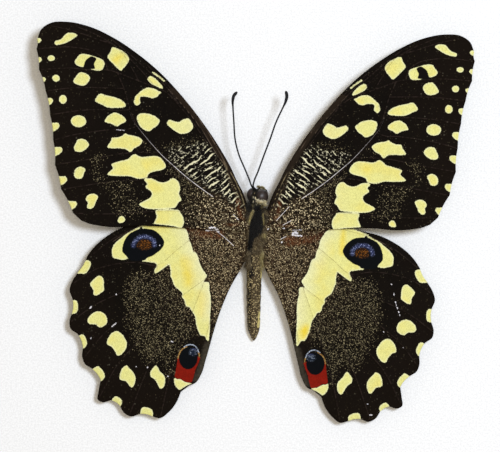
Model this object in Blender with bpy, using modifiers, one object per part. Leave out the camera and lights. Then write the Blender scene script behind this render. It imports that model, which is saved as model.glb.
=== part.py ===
"""Citrus swallowtail, life size, wings spread flat, lying on its folded legs and abdomen.

+X is the animal's right, +Y the way the head points, +Z up, and the floor is at z = 0.
All sizes are in millimetres until MM turns them into metres.
"""

import math

import bmesh
import bpy
import numpy as np
from mathutils import Matrix, Vector, geometry

MM = 0.001
GAP = 0.30  # between a piece and what it grows from

# Wings: one set of outlines and veins serves both sides. The two sides of a real specimen
# aren't quite alike, so each wing has its own stretch, skew and shift, in its own plane.
FORE_RIGHT = {"stretch": (0.979, 0.987), "skew": (0.0, -0.001), "shift": (0.20, -0.05)}
FORE_LEFT = {"stretch": (1.007, 1.028), "skew": (0.045, -0.027), "shift": (-0.28, -0.13)}
HIND_RIGHT = {"stretch": (1.001, 0.991), "skew": (-0.006, 0.0), "shift": (-0.64, 0.18)}
HIND_LEFT = {"stretch": (1.022, 1.02), "skew": (-0.003, -0.030), "shift": (-0.18, 2.12)}
MEMBRANE = 0.50
VEIN_THICKNESS = 0.90
VEIN_HALF_WIDTH = 0.45
OUTLINE_STEP = 1.9
VEIN_STEP = 2.6
SCALLOP_DEPTH = 0.20

FORE_ROOT_Z = 5.75
FORE_RISE = 0.030
FORE_TIP_RISE = 0.018
HIND_ROOT_Z = 4.40
HIND_RISE = 0.030
HIND_DROOP = 2.0
HIND_REACH = 48.0
ROOT_X = 2.5

# Body
THORAX_CENTRE = (-0.05, -1.6, 4.0)
THORAX_RADII = (2.75, 5.7, 3.2)
HEAD_CENTRE = (-0.05, 6.15, 5.0)
HEAD_RADII = (1.70, 1.70, 1.60)
HEAD_BACK = 2.25
HEAD_ROLL = math.radians(45)
HEAD_YAW = math.radians(10)
EYE_OFFSET = 1.50
EYE_RADII = (1.31, 1.60, 1.56)
ABDOMEN_FRONT = -6.2
ABDOMEN_TIP = -27.4
ABDOMEN_SEGMENTS = 8
SEGMENT_STEP = 0.05

HEAD_TURN = Matrix.Rotation(-HEAD_YAW, 3, "Z") @ Matrix.Rotation(-HEAD_ROLL, 3, "Y")

# Legs and feelers
FEMUR_RADIUS = 0.42
TIBIA_RADIUS = 0.30
TARSUS_RADIUS = 0.27
TARSUS_Z = 0.22
ANTENNA_RADIUS = 0.25
CLUB_RADIUS = 0.46
CLUB_LENGTH = 3.4
COIL_CENTRE = (0.70, -1.95)  # forward and up in the head's own axes
COIL_RADIUS = 1.22
COIL_PITCH = 0.557

# Where the model's middle lies, so that the origin is under the centre of its box
MIDDLE = (-1.24, -0.40)

# Forewing outline and veins, in the wing's own plane
FORE_COSTA = [
    (1.2, 2.3), (1.9, 3.0), (2.35, 4.1), (3.3, 6.7), (4.75, 9.6), (5.9, 12.2), (8.0, 16.0),
    (12.0, 22.1), (17.0, 28.5), (22.0, 33.8), (27.0, 37.9), (32.0, 41.2), (38.0, 43.9),
    (43.0, 44.85), (46.3, 44.6), (48.5, 43.2), (49.5, 41.0),
]
FORE_VEIN_ENDS = [
    (49.7, 38.8), (49.2, 34.2), (47.8, 29.5), (46.9, 24.2), (46.3, 18.6), (46.0, 13.0),
    (44.7, 7.6), (42.1, 2.3),
]
FORE_INNER = [
    (40.3, 0.6), (38.5, -0.1), (36.0, -0.6), (33.0, -0.9), (27.0, -0.6), (20.0, -0.9),
    (14.0, -1.3), (8.0, -1.6), (3.0, -1.7), (1.2, -1.6),
]
FORE_VEINS = {
    "Sc": [(1.6, 2.0), (3.5, 4.2), (5.0, 8.2), (8.0, 14.8), (12.0, 21.0), (17.0, 27.6), (24.6, 35.2)],
    "R": [(1.4, 1.4), (3.6, 3.4), (6.0, 8.6), (9.0, 14.0), (12.0, 18.9), (16.5, 25.0), (21.0, 29.5),
          (24.6, 30.9), (28.0, 32.2), (31.5, 33.6)],
    "R1": [(16.5, 25.0), (21.0, 31.0), (24.5, 34.0), (28.5, 37.6), (32.6, 40.9)],
    "R2": [(22.6, 30.1), (26.5, 34.5), (31.0, 38.9), (36.0, 41.9), (40.6, 43.8)],
    "R3": [(26.6, 31.7), (29.0, 36.0), (31.5, 39.2), (36.0, 41.0), (42.0, 43.0), (46.2, 43.9)],
    "R4": [(33.6, 34.1), (34.4, 36.3), (36.5, 38.1), (40.0, 39.0), (45.0, 39.2), (49.1, 38.8)],
    "R5": [(31.5, 33.6), (33.6, 34.1), (37.0, 34.1), (41.5, 34.5), (48.7, 34.2)],
    "M1": [(30.0, 30.0), (33.0, 30.1), (37.0, 30.2), (42.0, 30.1), (47.3, 29.5)],
    "M2": [(28.7, 25.3), (31.0, 25.1), (34.0, 25.3), (40.0, 25.1), (46.4, 24.2)],
    "M3": [(27.2, 21.6), (29.5, 20.9), (32.0, 20.9), (37.0, 20.4), (42.0, 19.6), (45.8, 18.6)],
    "CuA1": [(22.4, 15.7), (25.5, 15.8), (28.6, 15.7), (31.5, 15.4), (36.0, 14.6), (45.5, 13.1)],
    "CuA2": [(16.4, 10.0), (20.0, 10.8), (24.3, 10.4), (27.0, 9.7), (30.0, 9.5), (35.0, 9.0), (44.2, 7.6)],
    "Cu": [(1.4, 0.2), (4.4, 2.4), (9.0, 5.4), (14.0, 8.4), (17.5, 10.8), (20.5, 13.8), (23.5, 17.0),
           (25.6, 19.4), (27.2, 21.6)],
    "disc": [(31.5, 33.6), (30.0, 30.0), (28.7, 25.3), (27.2, 21.6)],
    "A": [(1.4, -1.0), (4.0, -0.2), (8.0, 0.6), (13.0, 1.6), (18.5, 2.7), (24.0, 2.6), (32.0, 2.1),
          (41.4, 2.2)],
}

# Hindwing outline: each lobe ends a vein, and the notches between lobes carry the pale marks.
HIND_COSTA = [
    (1.2, 0.2), (3.0, 1.4), (6.0, 2.9), (10.0, 3.2), (14.0, 2.2), (18.0, 0.6), (22.0, -0.7),
    (25.0, -1.6), (29.0, -2.55), (32.0, -3.9), (35.0, -5.9), (37.0, -7.9), (38.3, -9.8),
]
HIND_LOBES = [
    [(40.0, -12.9), (41.4, -15.2), (41.95, -17.2), (41.3, -19.05)],
    [(41.2, -22.2), (41.8, -24.4), (41.5, -25.9), (39.9, -27.1)],
    [(38.6, -30.1), (38.65, -32.5), (38.0, -34.0), (36.6, -34.9)],
    [(34.4, -37.6), (34.8, -40.0), (34.9, -42.1), (34.0, -42.65), (32.0, -42.2)],
    [(29.9, -43.5), (28.9, -45.1), (27.3, -45.9), (25.4, -45.3)],
    [(22.5, -45.9), (20.8, -46.3), (18.9, -45.0), (17.2, -42.8), (16.2, -40.3)],
]
HIND_NOTCH_DEPTH = 0.22
HIND_INNER = [
    (14.4, -38.9), (13.0, -38.3), (11.7, -36.2), (10.8, -33.0), (10.0, -29.9), (8.9, -25.5),
    (7.4, -20.8), (5.6, -16.4), (3.3, -12.1), (2.5, -10.3), (2.2, -8.0), (2.0, -5.5), (1.2, -4.8),
]
HIND_VEINS = {
    "ScR1": [(1.6, -0.4), (4.0, 0.9), (8.0, 1.9), (13.0, 1.2), (19.0, -0.9), (26.0, -2.7), (32.0, -5.4),
             (37.6, -9.6)],
    "Rs": [(1.4, -1.0), (6.0, -1.8), (12.0, -3.8), (18.0, -8.2), (22.4, -11.6), (27.0, -11.0),
           (32.0, -11.4), (37.0, -12.9), (41.0, -15.6)],
    "M1": [(22.4, -11.6), (25.0, -14.6), (30.0, -17.6), (35.5, -20.2), (41.4, -24.3)],
    "M2": [(22.0, -16.0), (28.0, -22.2), (34.0, -27.2), (38.2, -32.4)],
    "M3": [(20.0, -19.6), (25.0, -27.4), (30.6, -34.0), (34.5, -41.3)],
    "Cu": [(1.4, -2.6), (5.0, -5.6), (9.0, -11.0), (11.3, -14.5), (14.5, -17.0), (17.4, -19.2)],
    "disc": [(22.4, -11.6), (22.0, -16.0), (20.0, -19.6), (17.4, -19.2)],
    "CuA1": [(17.4, -19.2), (20.5, -27.0), (24.8, -37.4), (27.6, -45.3)],
    "CuA2": [(11.3, -14.5), (13.5, -20.5), (16.0, -28.0), (18.8, -36.8), (20.6, -45.7)],
    "A": [(1.6, -4.0), (3.6, -7.6), (5.6, -12.4), (8.4, -19.0), (10.6, -26.6), (12.0, -33.4),
          (13.6, -38.0)],
}

# Feelers, from the head to the tip
LEFT_ANTENNA = [
    (-1.5, 8.4, 5.7), (-1.95, 9.6, 5.75), (-3.1, 12.2, 5.9), (-4.55, 15.4, 6.2), (-5.5, 18.8, 6.6),
    (-5.9, 22.7, 7.0), (-6.2, 26.2, 7.3),
    (-6.3, 27.6, 7.4), (-6.05, 28.9, 7.5), (-5.3, 29.8, 7.6),
]
RIGHT_ANTENNA = [
    (-1.1, 8.3, 6.75), (-0.9, 9.5, 6.7), (-0.15, 11.5, 6.65), (1.0, 14.9, 6.7), (2.5, 19.2, 6.9),
    (3.8, 23.2, 7.1), (5.2, 26.4, 7.4),
    (5.8, 27.8, 7.5), (6.05, 29.2, 7.6), (5.8, 30.3, 7.7),
]

# Legs on the right side: hip, end of coxa, knee, ankle, start and end of the foot
LEGS = {
    "front": [(0.9, 1.9, 2.0), (1.5, 2.0, 1.2), (3.3, 2.4, 2.0), (4.2, 3.4, 0.8), (4.6, 4.1), (5.3, 6.4)],
    "mid": [(0.9, -1.0, 1.6), (1.7, -1.1, 0.9), (4.4, -0.6, 2.0), (5.7, -2.4, 0.7), (5.9, -3.3), (6.1, -6.2)],
    "hind": [(0.9, -4.2, 1.8), (1.6, -4.5, 1.0), (3.9, -5.6, 2.0), (4.6, -8.2, 0.7), (4.6, -9.1), (4.2, -11.8)],
}


def collection(name, render=True):
    made = bpy.data.collections.new(name)
    bpy.context.scene.collection.children.link(made)
    made.hide_render = not render
    return made


def curve(points, spacing):
    """Smooth curve through the points, as points about `spacing` apart."""
    knots = np.array(points, float)
    gaps = np.linalg.norm(np.diff(knots, axis=0), axis=1)
    along = np.concatenate([[0.0], np.cumsum(gaps)])
    slope = np.gradient(knots, along, axis=0)
    count = max(2, round(along[-1] / spacing) + 1)
    at = np.linspace(0.0, along[-1], count)
    i = np.clip(np.searchsorted(along, at, side="right") - 1, 0, len(gaps) - 1)
    h = gaps[i][:, None]
    u = ((at - along[i]) / gaps[i])[:, None]
    start = (2 * u**3 - 3 * u**2 + 1) * knots[i] + (u**3 - 2 * u**2 + u) * h * slope[i]
    end = (3 * u**2 - 2 * u**3) * knots[i + 1] + (u**3 - u**2) * h * slope[i + 1]
    return start + end


def arc(start, end, depth, count):
    """Points between two ends, bowed by `depth` to the left of the way from start to end."""
    start, end = np.array(start, float), np.array(end, float)
    side = np.array([start[1] - end[1], end[0] - start[0]])
    side /= np.linalg.norm(side)
    at = np.linspace(0, 1, count + 1)[:, None]
    return start + (end - start) * at + side * depth * np.sin(math.pi * at)


def joined(pieces):
    """One closed outline from pieces end to end, leaving out points that nearly repeat."""
    kept = []
    for point in np.concatenate(pieces):
        if not kept or np.linalg.norm(point - kept[-1]) > 0.25:
            kept.append(point)
    return np.array(kept)


def fore_outline():
    pieces = [curve(FORE_COSTA, OUTLINE_STEP)]
    ends = [FORE_COSTA[-1], *FORE_VEIN_ENDS]
    for start, end in zip(ends, ends[1:]):
        pieces.append(arc(start, end, -SCALLOP_DEPTH, 4))
    pieces.append(curve(FORE_INNER, OUTLINE_STEP * 1.2))
    return joined(pieces)


def hind_outline():
    pieces = [curve(HIND_COSTA, OUTLINE_STEP)]
    last = HIND_COSTA[-1]
    for lobe in HIND_LOBES:
        pieces.append(arc(last, lobe[0], -HIND_NOTCH_DEPTH, 3))
        pieces.append(curve(lobe, 1.0))
        last = lobe[-1]
    pieces.append(curve(HIND_INNER, OUTLINE_STEP * 1.1))
    return joined(pieces)


def fore_height(x, y):
    return FORE_ROOT_Z + FORE_RISE * (x - ROOT_X) + FORE_TIP_RISE * y


def hind_height(x, y):
    reach = math.hypot(x - ROOT_X, y + 2) / HIND_REACH
    return HIND_ROOT_Z + HIND_RISE * (x - ROOT_X) - HIND_DROOP * reach**2.5


def distance_to(point, line):
    """Distance from a point to a line of points."""
    a, b = line[:-1], line[1:]
    ab = b - a
    t = np.clip(((point - a) * ab).sum(axis=1) / (ab**2).sum(axis=1), 0, 1)
    return np.linalg.norm(a + ab * t[:, None] - point, axis=1).min()


def placed(x, y, place):
    """Where a point of the wing's own plane lies in the spread specimen, before mirroring."""
    stretch, skew, shift = place["stretch"], place["skew"], place["shift"]
    return stretch[0] * x + skew[0] * y + shift[0], stretch[1] * y + skew[1] * x + shift[1]


def wing_sheet(name, outline, veins, height, place, side):
    """The wing's middle surface, with its vein lines as edges and their rise as weights."""
    lines = [curve(points, VEIN_STEP) for points in veins.values()]
    points = [Vector(p) for p in outline]
    rim = len(points)
    edges = []
    for line in lines:
        first = len(points)
        points += [Vector(p) for p in line]
        edges += [(first + i, first + i + 1) for i in range(len(line) - 1)]
    closed = np.vstack([outline, outline[:1]])
    for number, line in enumerate(lines):
        along = np.gradient(line, axis=0)
        across = np.stack([-along[:, 1], along[:, 0]], axis=1)
        across /= np.linalg.norm(across, axis=1)[:, None]
        others = [other for i, other in enumerate(lines) if i != number]
        for sign in (-1, 1):
            for point in line + across * VEIN_HALF_WIDTH * sign:
                near = min(distance_to(point, other) for other in others)
                if near > VEIN_HALF_WIDTH * 0.9 and distance_to(point, closed) > 0.3:
                    points.append(Vector(point))
    ring = [list(range(rim))]
    found, _, faces, *_ = geometry.delaunay_2d_cdt(points, edges, ring, 1, 0.02)
    flat = np.array([tuple(p) for p in found])
    rise = []
    for p in flat:
        near = min(distance_to(p, line) for line in lines)
        edge = distance_to(p, closed)
        weight = max(0.0, 1 - near / (0.9 * VEIN_HALF_WIDTH)) * min(1.0, edge / 0.3)
        rise.append(max(weight, min(1.0, (6.0 - p[0]) / 3.0) * min(1.0, edge / 0.8)))
    mesh = bpy.data.meshes.new(name)
    spots = []
    for x, y in flat:
        out, along = placed(x, y, place)
        spots.append((side * out * MM, along * MM, height(x, y) * MM))
    mesh.from_pydata(spots, [], [face if side > 0 else face[::-1] for face in faces])
    mesh.update()
    sheet = bpy.data.objects.new(name, mesh)
    group = sheet.vertex_groups.new(name="veins")
    for i, weight in enumerate(rise):
        group.add([i], max(0.0, weight), "REPLACE")
    if sum(p.normal.z for p in mesh.polygons) < 0:
        mesh.flip_normals()
    return sheet


def wing(name, outline, veins, height, place, side):
    made = wing_sheet(name, outline, veins, height, place, side)
    model.objects.link(made)
    thick = made.modifiers.new("membrane", "SOLIDIFY")
    thick.thickness = VEIN_THICKNESS * MM
    thick.offset = 0
    thick.vertex_group = "veins"
    thick.thickness_vertex_group = MEMBRANE / VEIN_THICKNESS
    return made


def ball(name, centre, radii, segments, rings, shape=None, into=None):
    """A UV sphere with its poles along Y, drawn into shape by a function of a unit point."""
    mesh = bpy.data.meshes.new(name)
    bm = bmesh.new()
    bmesh.ops.create_uvsphere(bm, u_segments=segments, v_segments=rings, radius=1)
    bmesh.ops.rotate(bm, verts=bm.verts, matrix=Matrix.Rotation(-math.pi / 2, 3, "X"))
    for vert in bm.verts:
        unit = vert.co.copy()
        at = Vector(shape(unit)) if shape else Vector([u * r for u, r in zip(unit, radii)])
        vert.co = (at + Vector(centre)) * MM
    bmesh.ops.recalc_face_normals(bm, faces=bm.faces)
    bm.to_mesh(mesh)
    bm.free()
    mesh.shade_smooth()
    made = bpy.data.objects.new(name, mesh)
    (into or model).objects.link(made)
    return made


def tube(name, points, radii, sides, into=None):
    """A round bar along the points, with a radius at each point."""
    path = bpy.data.curves.new(name, "CURVE")
    path.dimensions = "3D"
    path.bevel_depth = MM
    path.bevel_resolution = sides
    path.use_fill_caps = True
    line = path.splines.new("POLY")
    line.points.add(len(points) - 1)
    for spot, at, radius in zip(line.points, points, radii):
        spot.co = (*(c * MM for c in at), 1)
        spot.radius = radius
    bar = bpy.data.objects.new(name + "_line", path)
    bpy.context.scene.collection.objects.link(bar)
    mesh = bpy.data.meshes.new_from_object(bar.evaluated_get(bpy.context.evaluated_depsgraph_get()))
    bpy.data.objects.remove(bar)
    bpy.data.curves.remove(path)
    mesh.name = name
    bm = bmesh.new()
    bm.from_mesh(mesh)
    bmesh.ops.remove_doubles(bm, verts=bm.verts, dist=1e-6)
    bmesh.ops.recalc_face_normals(bm, faces=bm.faces)
    bm.to_mesh(mesh)
    bm.free()
    mesh.shade_smooth()
    made = bpy.data.objects.new(name, mesh)
    (into or model).objects.link(made)
    return made


def grown(source, amount=GAP):
    """A cutter: the piece with its surface moved out by the gap."""
    mesh = source.data.copy()
    bm = bmesh.new()
    bm.from_mesh(mesh)
    bm.normal_update()
    normals = [vert.normal.copy() for vert in bm.verts]
    for vert, normal in zip(bm.verts, normals):
        vert.co += normal * amount * MM
    bm.to_mesh(mesh)
    bm.free()
    made = bpy.data.objects.new(source.name + "_cutter", mesh)
    cutters.objects.link(made)
    made.hide_render = True
    made.display_type = "WIRE"
    return made


def settle(piece):
    """Applies the modifiers and keeps the largest closed surface."""
    bpy.context.view_layer.update()
    graph = bpy.context.evaluated_depsgraph_get()
    mesh = bpy.data.meshes.new_from_object(piece.evaluated_get(graph))
    piece.modifiers.clear()
    piece.vertex_groups.clear()
    piece.data = mesh
    bm = bmesh.new()
    bm.from_mesh(mesh)
    bmesh.ops.triangulate(bm, faces=[face for face in bm.faces if len(face.verts) > 4])
    bodies, left = [], set(bm.verts)
    while left:
        body, edge = set(), [left.pop()]
        while edge:
            vert = edge.pop()
            body.add(vert)
            for link in vert.link_edges:
                other = link.other_vert(vert)
                if other in left:
                    left.remove(other)
                    edge.append(other)
        bodies.append(body)
    largest = max(bodies, key=len)
    bmesh.ops.delete(bm, geom=[v for v in bm.verts if v not in largest], context="VERTS")
    bm.to_mesh(mesh)
    bm.free()


def cut(piece, *tools):
    for tool in tools:
        trim = piece.modifiers.new("cut " + tool.name, "BOOLEAN")
        trim.operation = "DIFFERENCE"
        trim.solver = "EXACT"
        trim.object = tool
    settle(piece)


def flatten(piece):
    """Presses what is below the floor up to it, so that the piece rests on a flat."""
    for vert in piece.data.vertices:
        vert.co.z = max(vert.co.z, 0.0)


def paint(piece, name, colour, roughness, coat=0.0):
    material = bpy.data.materials.get(name) or bpy.data.materials.new(name)
    material.use_nodes = True
    shader = material.node_tree.nodes["Principled BSDF"]
    shader.inputs["Base Color"].default_value = (*colour, 1)
    shader.inputs["Roughness"].default_value = roughness
    shader.inputs["Coat Weight"].default_value = coat
    material.diffuse_color = (*colour, 1)
    piece.data.materials.clear()
    piece.data.materials.append(material)


def thorax_shape(unit):
    """Broad over the wing bases, narrower in front, with a low waist behind."""
    x, y, z = unit
    wide = THORAX_RADII[0] * (1 - 0.10 * max(0.0, y) ** 2)
    high = THORAX_RADII[2] * (1 - 0.12 * max(0.0, -y) ** 2)
    return x * wide, y * THORAX_RADII[1], z * high + 0.35 * max(0.0, y) ** 2


def head_shape(unit):
    x, y, z = unit
    long = HEAD_RADII[1] if y > 0 else HEAD_BACK
    return x * HEAD_RADII[0], y * long, z * HEAD_RADII[2]


def abdomen_section(y):
    """Middle x, middle z, half width and half height of the abdomen at a place along it."""
    t = (ABDOMEN_FRONT - y) / (ABDOMEN_FRONT - ABDOMEN_TIP)
    x = -0.35 + 0.35 * t**3
    wide = 1.82 - 0.45 * t**2
    high = 1.95 - 0.25 * t**2
    z = 3.75 - 2.35 * min(1.0, t * 1.35)
    return x, z, wide, high


def abdomen_shape(unit):
    """Eight rings that each overlap the next, drawn in at both ends."""
    length = ABDOMEN_FRONT - ABDOMEN_TIP
    t = 0.5 - unit.y / 2
    if t > 0:
        t = math.acos(max(-1, min(1, unit.y))) / math.pi
    y = ABDOMEN_FRONT - length * t
    x, z, wide, high = abdomen_section(y)
    around = math.atan2(unit.z, unit.x)
    front = min(1.0, t / 0.06) ** 0.5
    rear = min(1.0, (1 - t) / 0.14) ** 0.6
    ring = 1 + SEGMENT_STEP * (0.5 - (t * ABDOMEN_SEGMENTS) % 1.0) * (0.08 < t < 0.9)
    round_ = front * rear * ring
    if abs(unit.y) > 0.9999:
        round_ = 0.0
    return x + wide * round_ * math.cos(around), y, z + high * round_ * math.sin(around)


def on_head(x, y, z):
    """A place in the head's own axes, turned with its roll and put in the model."""
    turned = HEAD_TURN @ Vector((x, y, z))
    return tuple(turned + Vector(HEAD_CENTRE))


def mirrored(points, side):
    return [(side * x, y, z) for x, y, z in points]


def leg(name, key, side):
    hip, coxa, knee, ankle, heel, toe = LEGS[key]
    foot = [(*heel, TARSUS_Z), (*toe, TARSUS_Z)]
    joints = mirrored([hip, coxa, knee, ankle, *foot], side)
    sizes = [0.55, 0.50, FEMUR_RADIUS, TIBIA_RADIUS, TARSUS_RADIUS, TARSUS_RADIUS * 0.9]
    points, radii = [], []
    for i in range(len(joints) - 1):
        steps = 3
        for k in range(steps + (i == len(joints) - 2)):
            t = k / steps
            points.append([a + (b - a) * t for a, b in zip(joints[i], joints[i + 1])])
            swell = 0.12 * math.sin(math.pi * t) * (i == 1)
            radii.append(sizes[i] + (sizes[i + 1] - sizes[i]) * t + swell)
    made = tube(name, points, radii, 1)
    flatten(made)
    return made


def antenna(name, points, base):
    path = curve([base, *points], 0.75)
    length = np.concatenate([[0.0], np.cumsum(np.linalg.norm(np.diff(path, axis=0), axis=1))])
    radii = []
    for at in length[-1] - length:
        into = max(0.0, 1 - at / CLUB_LENGTH)
        tip = min(1.0, (at + 0.15) / 0.6) ** 0.5
        swell = (CLUB_RADIUS - ANTENNA_RADIUS) * min(1.0, 1.6 * into)
        radii.append((ANTENNA_RADIUS + swell) * tip)
    return tube(name, [tuple(p) for p in path], radii, 1)


def proboscis():
    """A flat coil under the face, of a little over one and a half turns."""
    points, radii = [], []
    turns, steps = 1.65, 40
    for i in range(steps + 1):
        t = i / steps
        angle = math.pi / 2 - t * turns * 2 * math.pi
        out = COIL_RADIUS - COIL_PITCH * t * turns
        at = (0.0, COIL_CENTRE[0] + out * math.cos(angle), COIL_CENTRE[1] + out * math.sin(angle))
        points.append(on_head(*at))
        radii.append(0.25 - 0.03 * t)
    return tube("proboscis", points, radii, 1)


for old in list(bpy.data.objects):
    bpy.data.objects.remove(old)
model = collection("citrus_swallowtail")
cutters = collection("cutters", render=False)

thorax = ball("thorax", THORAX_CENTRE, THORAX_RADII, 36, 24, thorax_shape)
around_thorax = grown(thorax)

abdomen = ball("abdomen", (0, 0, 0), None, 24, 40, abdomen_shape)
flatten(abdomen)
around_abdomen = grown(abdomen)
cut(abdomen, around_thorax)

head = ball("head", (0, 0, 0), None, 28, 20, head_shape)
head.data.transform(HEAD_TURN.to_4x4())
head.data.transform(Matrix.Translation(Vector(HEAD_CENTRE) * MM))
around_head = grown(head)

eyes = []
for label, side in (("right", 1), ("left", -1)):
    eye = ball("eye_" + label, (side * EYE_OFFSET, 0.05, 0), EYE_RADII, 24, 16)
    eye.data.transform(HEAD_TURN.to_4x4())
    eye.data.transform(Matrix.Translation(Vector(HEAD_CENTRE) * MM))
    eyes.append(eye)
around_eyes = [grown(eye) for eye in eyes]
cut(head, around_thorax)
for eye in eyes:
    cut(eye, around_head, around_thorax)

feelers = [
    antenna("antenna_right", RIGHT_ANTENNA, on_head(0.42, 1.15, 1.05)),
    antenna("antenna_left", LEFT_ANTENNA, on_head(-0.42, 1.15, 1.05)),
]
palps = []
for label, side in (("right", 1), ("left", -1)):
    places = [(0.46, 1.0, -0.9), (0.56, 1.75, -1.0), (0.54, 2.08, -0.45), (0.46, 2.0, 0.2)]
    path = [on_head(side * x, y, z) for x, y, z in places]
    bar = curve(path, 0.3)
    sizes = [0.42 - 0.20 * (i / (len(bar) - 1)) ** 2 for i in range(len(bar))]
    palps.append(tube("palp_" + label, [tuple(p) for p in bar], sizes, 1))
coil = proboscis()
around_palps = [grown(palp, 0.15) for palp in palps]
for piece in (*feelers, *palps, coil):
    cut(piece, around_head, *around_eyes)
cut(coil, *around_palps)

legs = []
for label, side in (("right", 1), ("left", -1)):
    for key in LEGS:
        limb = leg(f"leg_{key}_{label}", key, side)
        cut(limb, around_thorax)
        legs.append(limb)

wings = []
for label, side, fore_place, hind_place in (
    ("right", 1, FORE_RIGHT, HIND_RIGHT),
    ("left", -1, FORE_LEFT, HIND_LEFT),
):
    fore = wing("forewing_" + label, fore_outline(), FORE_VEINS, fore_height, fore_place, side)
    cut(fore, around_thorax)
    hind = wing("hindwing_" + label, hind_outline(), HIND_VEINS, hind_height, hind_place, side)
    cut(hind, around_thorax, around_abdomen)
    wings += [fore, hind]

for piece in wings:
    paint(piece, "wing scales", (0.035, 0.024, 0.016), 0.6)
for piece in (thorax, abdomen, head):
    paint(piece, "body scales", (0.05, 0.035, 0.02), 0.7)
for piece in eyes:
    paint(piece, "eye", (0.06, 0.035, 0.03), 0.25, 0.4)
for piece in (*feelers, *legs, coil):
    paint(piece, "dark horn", (0.02, 0.015, 0.012), 0.45)
for piece in palps:
    paint(piece, "palp scales", (0.35, 0.30, 0.10), 0.7)

for piece in bpy.data.objects:
    piece.data.transform(Matrix.Translation(Vector((-MIDDLE[0], -MIDDLE[1], 0)) * MM))
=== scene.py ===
"""Citrus swallowtail, dressed: scaled wings with raised veins, furred body, legs and mouthparts.

Shapes are worked out in millimetres, with +X the animal's right and +Y its head's way, and are
turned into metres and put over the frame's origin when a piece is made.
"""

import math

import bmesh
import bpy
import numpy as np
from mathutils import Matrix, Vector, geometry


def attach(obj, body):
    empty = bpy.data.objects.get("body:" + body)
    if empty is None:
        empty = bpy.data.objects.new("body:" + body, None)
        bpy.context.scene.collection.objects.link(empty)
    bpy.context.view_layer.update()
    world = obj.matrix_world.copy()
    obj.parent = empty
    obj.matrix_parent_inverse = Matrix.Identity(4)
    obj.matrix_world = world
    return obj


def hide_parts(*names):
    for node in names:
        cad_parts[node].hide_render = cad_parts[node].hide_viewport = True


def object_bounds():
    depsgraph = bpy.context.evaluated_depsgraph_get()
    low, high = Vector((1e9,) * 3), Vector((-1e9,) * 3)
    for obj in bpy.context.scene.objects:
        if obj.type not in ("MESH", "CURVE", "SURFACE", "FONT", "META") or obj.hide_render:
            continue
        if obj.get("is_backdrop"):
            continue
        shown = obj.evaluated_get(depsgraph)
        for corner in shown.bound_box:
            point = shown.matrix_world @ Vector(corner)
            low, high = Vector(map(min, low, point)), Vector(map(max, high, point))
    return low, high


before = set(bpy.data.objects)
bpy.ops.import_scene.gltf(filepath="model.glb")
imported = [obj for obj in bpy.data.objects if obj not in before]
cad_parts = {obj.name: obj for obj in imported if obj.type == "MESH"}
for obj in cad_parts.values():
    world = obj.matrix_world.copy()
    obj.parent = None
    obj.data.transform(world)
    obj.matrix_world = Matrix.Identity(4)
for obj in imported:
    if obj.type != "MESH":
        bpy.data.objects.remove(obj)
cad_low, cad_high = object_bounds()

MM = 0.001
MIDDLE = (-1.24, -0.40)  # the point over the frame's origin
DRAW = np.random.default_rng(20)

# Wings: the same plan for both sides, laid with each wing's own stretch, skew and shift
FORE_RIGHT = {"stretch": (0.979, 0.987), "skew": (0.0, -0.001), "shift": (0.20, -0.05)}
FORE_LEFT = {"stretch": (1.007, 1.028), "skew": (0.045, -0.027), "shift": (-0.28, -0.13)}
HIND_RIGHT = {"stretch": (1.001, 0.991), "skew": (-0.006, 0.0), "shift": (-0.64, 0.18)}
HIND_LEFT = {"stretch": (1.022, 1.02), "skew": (-0.003, -0.030), "shift": (-0.18, 2.12)}
NET = 0.26  # between the wing net's points
MEMBRANE = 0.16
VEIN_RISE = 0.13
VEIN_HALF_WIDTH = 0.26
ROOT_THICK = 0.5
ROOT_X = 2.5  # where a wing's height above the floor is counted from
SAG = 0.10  # of the membrane between its veins
COSTA_RISE = 0.14  # along the front edge
COSTA_HALF_WIDTH = 0.45
RIM_HALF_THICK = 0.045
WING_RISE = 0.030  # for each millimetre outwards
FORE_ROOT_HEIGHT = 5.75
FORE_RISE_FORWARD = 0.018
HIND_ROOT_HEIGHT = 4.40
HIND_DROOP = 2.0  # at HIND_REACH from the root
HIND_REACH = 48.0
MARK_REACH = 1.6  # how far outside a mark its depth is still told

# Body
THORAX_CENTRE = (-0.05, -1.6, 4.0)
THORAX_RADII = (2.75, 5.7, 3.2)
HEAD_CENTRE = (-0.05, 6.15, 5.0)
HEAD_RADII = (1.70, 1.70, 1.60)
HEAD_BACK = 2.25
HEAD_TURN = Matrix.Rotation(-math.radians(10), 3, "Z") @ Matrix.Rotation(-math.radians(45), 3, "Y")
CHEEK_CENTRE = (0.80, 4.92, 6.45)
EYE_OFFSET = 1.50
EYE_RADII = (1.31, 1.60, 1.56)
ABDOMEN_FRONT = -6.2
ABDOMEN_TIP = -27.4
ABDOMEN_SEGMENTS = 8
SKIN_VOXEL = 0.13
THORAX_COAT = 0.34  # the room left for hair, here and below
HEAD_COAT = 0.20
ABDOMEN_COAT = 0.06
NECK = 4.6
WAIST = -7.0
BROW = 6.6  # hair in front of it points up
HAIRS = 70  # on a square millimetre
PALP_HAIRS = 420
HAIR_SPREAD = 0.22

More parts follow.
